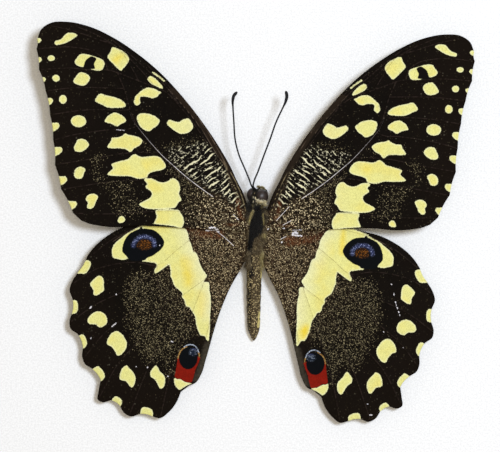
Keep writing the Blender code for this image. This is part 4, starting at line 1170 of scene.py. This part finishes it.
wing_upper = wing_material("wing scales, upper side", False)
wing_under = wing_material("wing scales, underside", True)
body_scales = skin_material()
body_hair = coat_material()
compound_eye = eye_material()
dark_horn = horn_material("dark horn", (6, 8, 11), (18, 19, 23), 0.55)
palp_scales = horn_material("palp scales", (30, 26, 18), (150, 136, 86), 0.7)


def fine_lines(wings):
    """The drawn lines and rubbed strokes of both wings of a pair, the strokes painted as
    highlights.
    """
    lines = []
    for name in wings:
        lines += LIGHT_VEINS[name] + [line for _, line in RUBBED_GLINTS[name]]
    return lines


fore_lines = fine_lines(("forewing_right", "forewing_left")) + FORE_COSTA_LINES
hind_lines = fine_lines(("hindwing_right", "hindwing_left"))
fore_net = wing_net(fore_outline(), FORE_VEINS, fore_lines)
hind_net = wing_net(hind_outline(), HIND_VEINS, hind_lines)
fore = (fore_net, FORE_VEINS, curve(FORE_COSTA, 1.0), fore_fields, fore_height)
hind = (hind_net, HIND_VEINS, curve(HIND_COSTA, 1.0), hind_fields, hind_height)
for label, side, fore_place, hind_place in (
    ("right", 1, FORE_RIGHT, HIND_RIGHT),
    ("left", -1, FORE_LEFT, HIND_LEFT),
):
    wing("forewing_" + label, side, fore_place, *fore)
    wing("hindwing_" + label, side, hind_place, *hind)


# Body

def thorax_shape(unit):
    """Broad over the wing bases, narrower in front, with a low waist behind."""
    x, y, z = unit
    wide = (THORAX_RADII[0] - THORAX_COAT) * (1 - 0.10 * max(0.0, y) ** 2)
    high = (THORAX_RADII[2] - THORAX_COAT) * (1 - 0.12 * max(0.0, -y) ** 2)
    furrow = 0.12 * math.exp(-((x / 0.12) ** 2)) * (z > 0)
    rise = 0.35 * max(0.0, y) ** 2
    return x * wide, y * (THORAX_RADII[1] - THORAX_COAT), z * (high - furrow) + rise


def head_shape(unit):
    x, y, z = unit
    long = HEAD_RADII[1] - HEAD_COAT if y > 0 else HEAD_BACK
    return x * (HEAD_RADII[0] - HEAD_COAT), y * long, z * (HEAD_RADII[2] - HEAD_COAT)


def abdomen_section(y):
    """Middle x, middle z, half width and half height of the abdomen at a place along it."""
    t = (ABDOMEN_FRONT - y) / (ABDOMEN_FRONT - ABDOMEN_TIP)
    x = -0.35 + 0.35 * t**3
    wide = 1.84 - ABDOMEN_COAT - 0.45 * t**2
    high = 1.95 - ABDOMEN_COAT - 0.25 * t**2
    z = 3.75 - 2.35 * np.minimum(1.0, t * 1.35)
    return x, z, wide, high


def abdomen_shape(unit):
    """Rings that each overlap the next, drawn in at both ends."""
    t = math.acos(max(-1, min(1, unit.y))) / math.pi
    y = ABDOMEN_FRONT - (ABDOMEN_FRONT - ABDOMEN_TIP) * t
    x, z, wide, high = abdomen_section(y)
    around = math.atan2(unit.z, unit.x)
    front = min(1.0, t / 0.06) ** 0.5
    rear = min(1.0, (1 - t) / 0.14) ** 0.6
    ring = 1 + 0.07 * (0.5 - (t * ABDOMEN_SEGMENTS) % 1.0) * (0.08 < t < 0.95)
    keel = 1 + 0.04 * max(0.0, math.sin(around)) ** 8
    round_ = front * rear * ring * keel
    if abs(unit.y) > 0.9999:
        round_ = 0.0
    return x + wide * round_ * math.cos(around), y, max(0.02, z + high * round_ * math.sin(around))


def on_head(x, y, z):
    """A place in the head's own axes, turned with its roll and put in the model."""
    turned = HEAD_TURN @ Vector((x, y, z))
    return tuple(turned + Vector(HEAD_CENTRE))


def ball(segments, rings, shape, turn=None):
    """A round form with its poles along Y, as a mesh in millimetres."""
    bm = bmesh.new()
    bmesh.ops.create_uvsphere(bm, u_segments=segments, v_segments=rings, radius=1)
    bmesh.ops.rotate(bm, verts=bm.verts, matrix=Matrix.Rotation(-math.pi / 2, 3, "X"))
    for vert in bm.verts:
        vert.co = Vector(shape(vert.co.copy()))
    if turn:
        bmesh.ops.transform(bm, matrix=turn, verts=bm.verts)
    bmesh.ops.recalc_face_normals(bm, faces=bm.faces)
    mesh = bpy.data.meshes.new("ball")
    bm.to_mesh(mesh)
    bm.free()
    return mesh


def lump(centre, radii):
    return lambda unit: [c + r * u for c, r, u in zip(centre, radii, unit)]


def melted(name, meshes, voxel, smoothing):
    """One closed skin over several overlapping forms."""
    bm = bmesh.new()
    for mesh in meshes:
        bm.from_mesh(mesh)
        bpy.data.meshes.remove(mesh)
    mesh = bpy.data.meshes.new(name)
    bm.to_mesh(mesh)
    bm.free()
    made = bpy.data.objects.new(name, mesh)
    bpy.context.scene.collection.objects.link(made)
    remesh = made.modifiers.new("melt", "REMESH")
    remesh.mode = "VOXEL"
    remesh.voxel_size = voxel
    remesh.use_smooth_shade = True
    soften = made.modifiers.new("soften", "SMOOTH")
    soften.factor = 0.5
    soften.iterations = smoothing
    bpy.context.view_layer.update()
    graph = bpy.context.evaluated_depsgraph_get()
    result = bpy.data.meshes.new_from_object(made.evaluated_get(graph))
    bpy.data.objects.remove(made)
    points = np.zeros(len(result.vertices) * 3)
    result.vertices.foreach_get("co", points)
    normals = np.zeros(len(result.vertices) * 3)
    result.vertices.foreach_get("normal", normals)
    faces = np.array([tuple(face.vertices) for face in result.polygons])
    return points.reshape(-1, 3), normals.reshape(-1, 3), faces


head_turn = Matrix.Translation(Vector(HEAD_CENTRE)) @ HEAD_TURN.to_4x4()
cheek_turn = Matrix.Translation(CHEEK_CENTRE) @ Matrix.Rotation(math.radians(-30), 4, "Z")
forms = [
    ball(64, 48, lambda u: np.array(thorax_shape(u)) + THORAX_CENTRE),
    ball(48, 128, abdomen_shape),
    ball(40, 32, head_shape, head_turn),
    ball(24, 16, lump((-0.05, 4.3, 4.7), (1.35, 1.5, 1.5))),
    ball(24, 16, lump((1.55, 1.6, 5.9), (0.95, 1.9, 0.8))),
    ball(24, 16, lump((-1.65, 1.6, 5.9), (0.95, 1.9, 0.8))),
    ball(24, 16, lump((-0.1, -6.4, 3.9), (1.75, 1.9, 1.95))),
    ball(24, 16, lump((0, 0, 0), (1.35, 0.52, 0.80)), cheek_turn),
    ball(20, 14, lump((-0.80, -1.00, 0.62), (0.80, 0.62, 0.66)), head_turn),
]
for out in (-0.9, 0.9):  # where the legs grow
    for y, z, size in ((1.9, 1.9, 0.62), (-1.0, 1.5, 0.66), (-4.2, 1.7, 0.62)):
        forms.append(ball(16, 12, lump((out, y, z), (size, size * 1.2, size))))
skin_points, skin_normals, skin_faces = melted("skin", forms, SKIN_VOXEL, 5)


# The black middle of the thorax: places along it, with its left and right edge there
MIDDLE_LEFT = [
    (-7.3, -1.88), (-4.4, -1.95), (-2.6, -1.75), (-0.25, -1.55), (2.7, -1.15), (4.5, -0.8),
]
MIDDLE_RIGHT = [
    (-7.3, -0.82), (-4.2, -0.8), (-3.1, -0.2), (-2.2, 1.2), (-0.25, 1.39), (2.7, 1.2), (4.5, 1.0),
]
SIDE_BROWN = [(-3.0, 0.95), (-0.5, 0.75), (1.5, 0.40), (3.5, 0.16)]
LEFT_STRIPE_YELLOW = [(0.6, 0.85), (2.2, 0.65)]


def read_off(y, pairs):
    """The value at each place along the body, from places with their values."""
    return np.interp(y, *zip(*pairs))


def body_marks(at):
    """How yellow and how brown the body is at each point, where black is neither."""
    x, y, z = at.T
    abdomen_x, abdomen_z, _, _ = abdomen_section(np.clip(y, ABDOMEN_TIP, ABDOMEN_FRONT))
    rise = np.degrees(np.arctan2(z - abdomen_z, x - abdomen_x))
    above = z > abdomen_z - 0.4
    streak = beside(at, [(1.30, -6.8), (1.42, -9.5), (1.38, -12.6)], 0.26) * above
    rear_streak = beside(at, [(1.2, -20.8), (1.1, -22.4), (0.95, -24.0)], 0.30) * above
    right_line = np.exp(-(((rise + 24) / 11) ** 2))
    left_line = np.exp(-(((np.abs(rise) - 158) / 10) ** 2)) * (rise < 0)
    side_lines = 0.9 * np.clip(right_line + left_line, 0, 1)
    keel = np.abs(np.cos(np.radians(rise))) < 0.09
    belly = step_at(-np.sin(np.radians(rise)), 0.70, 0.06) * (1 - 0.9 * keel)
    abdomen = np.maximum.reduce([np.maximum(streak, rear_streak), side_lines, belly])
    abdomen = abdomen * (1 - beside(at, [(1.15, -22.2), (1.4, -22.2)], 0.14) * above)
    seam = beside(at, [(-1.15, -11.0), (-1.35, -16.5), (-1.30, -20.0), (-1.05, -24.2)], 0.26)
    spine = beside(at, [(-1.35, -6.0), (-1.2, -9.5), (-0.8, -12.0)], 0.42)
    abdomen_brown = 0.62 * (1 - seam) * (1 - 0.8 * spine)

    middle = step_at(x - read_off(y, MIDDLE_LEFT), 0.0, 0.25)
    middle = middle * step_at(read_off(y, MIDDLE_RIGHT) - x, 0.0, 0.25)
    thorax_brown = read_off(y, SIDE_BROWN) * (1 - middle)
    left = beside(at, [(-1.87, -0.5), (-1.71, 1.0), (-1.09, 2.9)], 0.20)
    right = beside(at, [(1.62, -0.3), (1.50, 1.0), (1.32, 2.2)], 0.12)
    tuft = spot_at(at, (2.2, 2.5), 0.55)
    upper = step_at(z, 4.6, 0.8)
    under = step_at(3.0 - z, 0.0, 0.7) * (0.45 + 0.5 * np.sin(y * 2.3) ** 2)
    collar_spots = (((-1.25, 3.95), 0.36), ((1.17, 3.87), 0.34), ((1.95, 4.2), 0.30))
    collar = sum(spot_at(at, *spot) for spot in collar_spots)
    patch = 0.7 * spot_at(at, (1.7, -2.7), 0.5)
    thorax = upper * (left * read_off(y, LEFT_STRIPE_YELLOW) + 0.75 * right + patch) + under
    thorax_brown = np.clip(thorax_brown + upper * (left + tuft), 0, 1)

    hx, hy, hz = ((at - HEAD_CENTRE) @ np.array(HEAD_TURN)).T
    cheek = beside(at, [(0.15, 4.95), (0.75, 4.85), (1.4, 4.85), (2.0, 4.4)], 0.50) * (z > 4.8)
    cheek = np.maximum(cheek, beside(at, [(-0.40, 5.65), (-0.1, 5.2)], 0.26) * (z > 4.8))
    face_lines = np.exp(-(((np.abs(hx) - 0.5) / 0.16) ** 2))
    face = step_at(hy, 0.9, 0.3) * face_lines * step_at(0.6 - hz, 0.0, 0.4)
    dots = sum(spot_at(at, c, 0.20) for c in ((-1.0, 5.82), (-1.02, 4.83), (-2.1, 5.26)))
    dots = dots * (z > 4.4)
    head = cheek + face + dots + step_at(-hz, 0.9, 0.4)
    behind = step_at(-y, 6.6, 0.8)
    ahead = step_at(y, 4.45, 0.3)
    yellow = abdomen * behind + head * ahead + (thorax + upper * collar) * (1 - behind)
    brown = abdomen_brown * behind + thorax_brown * (1 - behind) * (1 - ahead) + 0.10 * ahead
    return np.clip(yellow, 0, 1), np.clip(brown, 0, 1)


def creamy(at):
    """Where yellow is paler: on the head."""
    return step_at(at[:, 1], 4.5, 0.3)


yellow, brown = body_marks(skin_points)
marks = {
    "yellow": yellow,
    "brown": brown,
    "grey": 0.06 + 0.26 * step_at(-skin_points[:, 1], 5.0, 3.0),
    "cream": creamy(skin_points),
}
body = ["thorax", "head", "abdomen"]
piece("body_skin", skin_points, skin_faces, marks, [body_scales], body, "body_scales")


# Hair, as solid tapered tufts

HAIR_POINTS = 7  # three at the root, three half way and the tip


def unit(vectors):
    return vectors / np.maximum(np.linalg.norm(vectors, axis=1), 1e-9)[:, None]


def rooted(points, normals, faces, per_square):
    """Places spread over a surface, with the surface's own facing there."""
    corners = points[faces]
    across = np.cross(corners[:, 1] - corners[:, 0], corners[:, 2] - corners[:, 0])
    area = np.linalg.norm(across, axis=1)
    count = int(area.sum() * per_square)
    chosen = DRAW.choice(len(faces), count, p=area / area.sum())
    u, v = DRAW.random((2, count, 1))
    a, b, c, d = (corners[chosen, k] for k in range(4))
    facing = unit(normals[faces[chosen]].mean(axis=1))
    return (1 - u) * (1 - v) * a + u * (1 - v) * b + u * v * c + (1 - u) * v * d, facing


def tufts(name, roots, facing, lie, lift, length, width, marks, node, slot="body_scales"):
    """Closed three-sided hairs along `lie`, raised from the skin by `lift`, that taper to a tip."""
    count = len(roots)
    jitter = DRAW.normal(0, HAIR_SPREAD, (count, 3))
    flat = lie - facing * (lie * facing).sum(axis=1)[:, None]
    way = unit(unit(flat) + facing * lift + jitter)
    side = unit(np.cross(way, facing))
    up = np.cross(side, way)
    reach = (length * DRAW.uniform(0.65, 1.2, count))[:, None]
    start = roots - facing * 0.06
    bend = unit(way + unit(flat) * 0.45)
    middle = start + way * reach * 0.5
    tip = middle + bend * reach * 0.5
    corners = (math.pi / 2, math.pi * 7 / 6, math.pi * 11 / 6)
    spokes = [(math.cos(a), math.sin(a)) for a in corners]
    half = width / 2
    rings = [start + (side * c + up * s * 0.6) * half for c, s in spokes]
    rings += [middle + (side * c + up * s * 0.6) * half * 0.8 for c, s in spokes]
    points = np.stack([*rings, tip], axis=1).reshape(-1, 3)
    points[:, 2] = np.maximum(points[:, 2], 0.01)
    shape = [(2, 1, 0)]
    for k in range(3):
        n = (k + 1) % 3
        shape += [(k, n, n + 3), (k, n + 3, k + 3), (k + 3, n + 3, 6)]
    faces = (np.arange(count)[:, None, None] * HAIR_POINTS + np.array(shape)).reshape(-1, 3)
    yellow, brown = (np.broadcast_to(mark, count) for mark in marks)
    values = {"yellow": yellow, "brown": brown, "tone": DRAW.random(count), "cream": creamy(roots)}
    values = {key: np.repeat(value, HAIR_POINTS) for key, value in values.items()}
    values["tip"] = np.tile([0.0, 0.0, 0.0, 0.6, 0.6, 0.6, 1.0], count)
    made = piece(name, points, faces, values, [body_hair], [node], slot)
    around = np.arctan2(roots[:, 0], roots[:, 2] - 4.0) / (2 * math.pi) + 0.5
    spread_y = (roots[:, 1] - roots[:, 1].min()) / max(1e-6, np.ptp(roots[:, 1]))
    centre = np.stack([around, spread_y], axis=1) * 0.98 + 0.01
    patch = np.array([(-1, -1), (0, -1), (1, -1), (-1, 0), (0, 0), (1, 0), (0, 1)]) * 0.0015
    spots = (centre[:, None, :] + patch).reshape(-1, 2)
    layer = made.data.uv_layers.new(name="OFBake")
    layer.data.foreach_set("uv", spots[faces.reshape(-1)].reshape(-1).astype(np.float32))


def in_eye(at):
    """Whether a point lies in, or just over, either eye."""
    turned = (at - HEAD_CENTRE) @ np.array(HEAD_TURN)
    found = np.zeros(len(at), bool)
    for side in (-1, 1):
        away = (turned - (side * EYE_OFFSET, 0.05, 0)) / (np.array(EYE_RADII) + 0.03)
        found |= (away**2).sum(axis=1) < 1
    return found


roots, facing = rooted(skin_points, skin_normals, skin_faces, HAIRS)
x, y, z = roots.T
clear = ~in_eye(roots)


def coat(name, where, region, lie, lift, length, width, yellow, brown):
    """Hair on one part of the body, all of one length."""
    marks = (yellow, brown)
    tufts("coat_" + name, roots[where], facing[where], lie, lift, length, width, marks, region)


where = (x < -1.1) & (y > 2.2) & (y < 4.6) & (z > 3.6)
coat("shoulder", where, "thorax", np.array((-0.45, 1.0, 0.25)), 0.35, 1.9, 0.10, 0.0, 0.05)
where = (x > 0.1) & (x < 2.2) & (y > 4.3) & (y < 5.6) & (z > 4.8) & clear
gilt = DRAW.uniform(0.7, 1.0, where.sum())
coat("cheek", where, "head", np.array((-0.1, 1.0, 0.35)), 0.45, 0.75, 0.10, gilt, 0.1)
where = (x > -0.5) & (x < 1.0) & (y > 6.8) & (z > 3.5) & clear
tan = DRAW.uniform(0.0, 0.4, where.sum())
coat("brow", where, "head", np.array((0.25, 1.0, 0.1)), 0.25, 0.75, 0.10, 0.0, tan)
where = (y < -6.0) & (y > -9.6) & (np.abs(x) > 1.05) & (z > 3.4)
on_right = x[where] > 0
lies = np.where(on_right[:, None], (0.30, -1.0, 0.05), (-0.42, -1.0, 0.05))
gilt = on_right * DRAW.uniform(0.2, 1.0, where.sum())
coat("flank", where, "abdomen", lies, 0.22, 2.1, 0.10, gilt, 0.85)
# The short coat of each region: where it grows, how it is raised, its length and width
lies = np.where((y > BROW)[:, None], (0.0, 0.6, 0.6), (0.0, -1.0, -0.15))
regions = {
    "head": ((y > NECK) & clear, 0.55, 0.42, 0.07),
    "thorax": ((y <= NECK) & (y > WAIST), 0.38, 0.85, 0.085),
    "abdomen": ((y <= WAIST) & (DRAW.random(len(roots)) < 0.55), 0.10, 0.34, 0.075),
}
for region, (where, *size) in regions.items():
    marks = body_marks(roots[where])
    marks = [mark + DRAW.normal(0, 0.16, where.sum()) * (mark > 0.05) for mark in marks]
    coat(region, where, region, lies[where], *size, *np.clip(marks, 0, 1))


# Head pieces, feelers and legs

def tube(points, radii, sides=12):
    """Points and faces of a closed round bar along a path, with a radius at each point."""
    path = np.array(points, float)
    ways = unit(np.gradient(path, axis=0))
    side = np.cross(ways[0], (0.13, 0.2, 0.97))
    made, faces = [], []
    for k, (at, way, radius) in enumerate(zip(path, ways, radii)):
        side = side - way * (side @ way)
        side /= np.linalg.norm(side)
        up = np.cross(way, side)
        turn = np.linspace(0, 2 * math.pi, sides, endpoint=False)[:, None]
        made.append(at + (np.cos(turn) * side + np.sin(turn) * up) * radius)
        if k:
            first = (k - 1) * sides
            for n in range(sides):
                m = (n + 1) % sides
                faces.append((first + n, first + m, first + m + sides, first + n + sides))
    points = np.vstack(made)
    faces.append(tuple(range(sides - 1, -1, -1)))
    last = len(points) - sides
    faces.append(tuple(range(last, last + sides)))
    return points, faces


def gathered(parts):
    """Several closed forms as one list of points and faces."""
    points, faces, start = [], [], 0
    for some, joins in parts:
        points.append(some)
        faces += [tuple(start + i for i in face) for face in joins]
        start += len(some)
    return np.vstack(points), faces


def antenna(name, points, base):
    path = curve([base, *points], 0.085)
    gaps = np.linalg.norm(np.diff(path, axis=0), axis=1)
    along = np.concatenate([[0.0], np.cumsum(gaps)])
    left = along[-1] - along
    club = np.clip(1 - left / CLUB_LENGTH, 0, 1)
    swell = np.sin(np.minimum(club * 1.45, 1.0) * math.pi / 2) ** 1.5
    tip = np.sqrt(np.clip((left + 0.03) / 0.5, 0, 1))
    rings = 1 - 0.13 * np.abs(((along / 0.42) % 1.0) - 0.5) * 2
    radii = (ANTENNA_RADIUS + (CLUB_RADIUS - ANTENNA_RADIUS) * swell) * tip * rings
    radii = radii + 0.10 * np.exp(-((along / 0.35) ** 2))
    piece(name + "_ringed", *tube(path, radii), {}, [dark_horn], [name], "dark_horn")


def palp(name, side):
    places = [(0.46, 1.0, -0.9), (0.56, 1.75, -1.0), (0.54, 2.08, -0.45), (0.46, 2.0, 0.2)]
    path = curve([on_head(side * x, y, z) for x, y, z in places], 0.06)
    t = np.linspace(0, 1, len(path))
    radii = (0.36 - 0.17 * t**2) * np.sqrt(np.clip((1.02 - t) / 0.12, 0, 1))
    first_waist = 0.10 * np.exp(-(((t - 0.35) / 0.03) ** 2))
    second_waist = 0.12 * np.exp(-(((t - 0.8) / 0.03) ** 2))
    radii = radii * (1 - first_waist - second_waist)
    piece(name + "_shaped", *tube(path, radii, 14), {}, [palp_scales], [name], "palp_scales")
    chosen = DRAW.integers(2, len(path) - 4, PALP_HAIRS)
    ways = unit(np.gradient(path, axis=0))[chosen]
    out = unit(np.cross(ways, DRAW.normal(0, 1, (PALP_HAIRS, 3))))
    roots = path[chosen] + out * radii[chosen][:, None] * 0.95
    marks = (0.9 * (np.abs(out[:, 2]) < 0.5), 0.4)
    tufts("coat_" + name, roots, out, ways, 0.5, 0.42, 0.07, marks, name, "palp_scales")


def proboscis():
    """A flat coil under the face, of a little over one and a half turns, ringed along it."""
    turns, pitch = 1.65, 0.557
    t = np.linspace(0, 1, 220)
    angle = math.pi / 2 - t * turns * 2 * math.pi
    out = 1.22 - pitch * t * turns
    path = [
        on_head(0.0, 0.70 + o * math.cos(a), -1.95 + o * math.sin(a)) for o, a in zip(out, angle)
    ]
    rings = 1 - 0.10 * np.abs(((t * 70) % 1.0) - 0.5) * 2
    radii = (0.21 - 0.08 * t) * rings * np.sqrt(np.clip((1.01 - t) / 0.04, 0, 1))
    shape = tube(path, radii)
    piece("proboscis_coiled", *shape, {}, [dark_horn], ["proboscis"], "dark_horn")


def cone(base, way, length, radius):
    """A pointed spur or claw, closed at its root."""
    way = np.array(way, float) / np.linalg.norm(way)
    t = np.linspace(0, 1, 6)
    droop = np.array((0, 0, 1)) * (length * 0.25 * t[:, None] ** 2)
    path = np.array(base) + way * length * t[:, None] - droop
    return tube(path, radius * (1 - 0.92 * t), 8)


def leg(name, key, side):
    """A leg from the hip to its claws, with spurs and spines, mirrored for the left side."""
    hip, coxa, knee, ankle, heel, toe = (np.array(p, float) for p in LEGS[key])
    heel, toe = np.append(heel, TARSUS_RADIUS + 0.02), np.append(toe, TARSUS_RADIUS + 0.02)
    parts = []

    def limb(start, end, radii, bow=0.0):
        t = np.linspace(0, 1, len(radii))[:, None]
        rise = np.array((0, 0, 1)) * bow * np.sin(math.pi * t)
        parts.append(tube(start + (end - start) * t + rise, radii))

    limb(hip, coxa, [0.50, 0.54, 0.52, 0.46, 0.34, 0.20])
    t = np.linspace(0, 1, 16)
    limb(coxa, knee, FEMUR_RADIUS * (0.62 + 0.38 * np.sin(math.pi * t**0.8)), bow=0.12)
    limb(knee, ankle, TIBIA_RADIUS * (0.8 + 0.25 * np.sin(math.pi * t) + 0.18 * t))
    limb(ankle, heel, [0.20, 0.21, 0.20, 0.19, 0.17])
    way = toe - heel
    foot_joint = TARSUS_RADIUS * (0.62 + 0.38 * np.linspace(0, 1, 7) ** 0.6)
    for k in range(5):
        a, b = heel + way * (k / 5 - 0.02), heel + way * ((k + 1) / 5)
        limb(a, b, foot_joint * (1 - 0.06 * k))
    across = np.cross(way, (0, 0, 1))
    across /= np.linalg.norm(across)
    forward = way / np.linalg.norm(way)
    for turn in (-1, 1):
        parts.append(cone(toe - forward * 0.05, forward + across * turn * 0.6, 0.42, 0.07))
        parts.append(cone(ankle, heel - ankle + across * turn * 0.7, 0.55, 0.07))
    for k in range(9):
        at = ankle + (knee - ankle) * (k / 10 + 0.05)
        turn = 1 if k % 2 else -1
        parts.append(cone(at, (ankle - knee) * 0.25 + across * turn * 0.5, 0.30, 0.035))
    points, faces = gathered(parts)
    points[:, 2] = np.maximum(points[:, 2], 0.0)
    if side < 0:
        points[:, 0] *= -1
        faces = [face[::-1] for face in faces]
    piece(name + "_jointed", points, faces, {}, [dark_horn], [name], "dark_horn")


for label, side in (("right", 1), ("left", -1)):
    eye = ball(112, 80, lump((side * EYE_OFFSET, 0.05, 0), EYE_RADII), head_turn)
    points = np.array([tuple(vert.co) for vert in eye.vertices])
    faces = [tuple(face.vertices) for face in eye.polygons]
    turned = (points - HEAD_CENTRE) @ np.array(HEAD_TURN)
    rim = {"rim": step_at(0.75 - side * turned[:, 0], 0.0, 0.35)}
    node = "eye_" + label
    piece(node + "_faceted", points, faces, rim, [compound_eye], [node], "eye")
    bpy.data.meshes.remove(eye)
    palp("palp_" + label, side)
    for key in LEGS:
        leg(f"leg_{key}_{label}", key, side)
antenna("antenna_right", RIGHT_ANTENNA, on_head(0.42, 1.15, 1.05))
antenna("antenna_left", LEFT_ANTENNA, on_head(-0.42, 1.15, 1.05))
proboscis()


# Floor, light and camera

FLOOR_HALF = 1.2  # in metres, as all sizes from here on
LAMPS_AIM = Vector((0.0, 0.0, 0.0))
WARM = (1.0, 0.90, 0.75)


def floor():
    mesh = bpy.data.meshes.new("floor")
    corners = [(FLOOR_HALF * a, FLOOR_HALF * b, 0) for a, b in ((-1, -1), (1, -1), (1, 1), (-1, 1))]
    mesh.from_pydata(corners, [], [(0, 1, 2, 3)])
    mesh.materials.append(floor_material())
    made = bpy.data.objects.new("floor", mesh)
    bpy.context.scene.collection.objects.link(made)
    made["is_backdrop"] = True


def lamp(name, place, size, power, tint):
    light = bpy.data.lights.new(name, "AREA")
    light.color = tint
    light.shape = "DISK"
    light.size = size
    light.energy = power
    made = bpy.data.objects.new(name, light)
    made.location = place
    made.rotation_euler = (LAMPS_AIM - Vector(place)).to_track_quat("-Z", "Y").to_euler()
    bpy.context.scene.collection.objects.link(made)


floor()
lamp("key", (0.215, 0.130, 0.69), 0.17, 4.05, (0.81, 0.89, 1.0))
lamp("fill", (0.0, 0.0, 0.90), 0.30, 1.40, WARM)
world = bpy.data.worlds.new("studio")
world.use_nodes = True
sky = world.node_tree.nodes["Background"]
sky.inputs["Color"].default_value = (*WARM, 1)
sky.inputs["Strength"].default_value = 0.37
bpy.context.scene.world = world
bpy.context.scene.view_settings.view_transform = "Standard"

# The camera looks straight down, and at VIEW_LEVEL above the floor it takes in VIEW_WIDTH
VIEW_CENTRE = (-0.00035, -0.00045)
VIEW_HEIGHT = 0.60
VIEW_LEVEL = 0.005
VIEW_WIDTH = 0.115
SENSOR_WIDTH = 36.0  # in millimetres, as the lens
VIEW_TURN = math.radians(1.5)
camera = bpy.data.cameras.new("camera")
camera.sensor_width = SENSOR_WIDTH
camera.lens = SENSOR_WIDTH * (VIEW_HEIGHT - VIEW_LEVEL) / VIEW_WIDTH
viewer = bpy.data.objects.new("camera", camera)
viewer.location = (*VIEW_CENTRE, VIEW_HEIGHT)
viewer.rotation_euler = (0.0, 0.0, VIEW_TURN)
bpy.context.scene.collection.objects.link(viewer)
bpy.context.scene.camera = viewer

bpy.context.view_layer.update()
shown_low, shown_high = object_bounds()
size = {
    "cad": [list(cad_low), list(cad_high)],
    "scene": [list(shown_low), list(shown_high)],
}
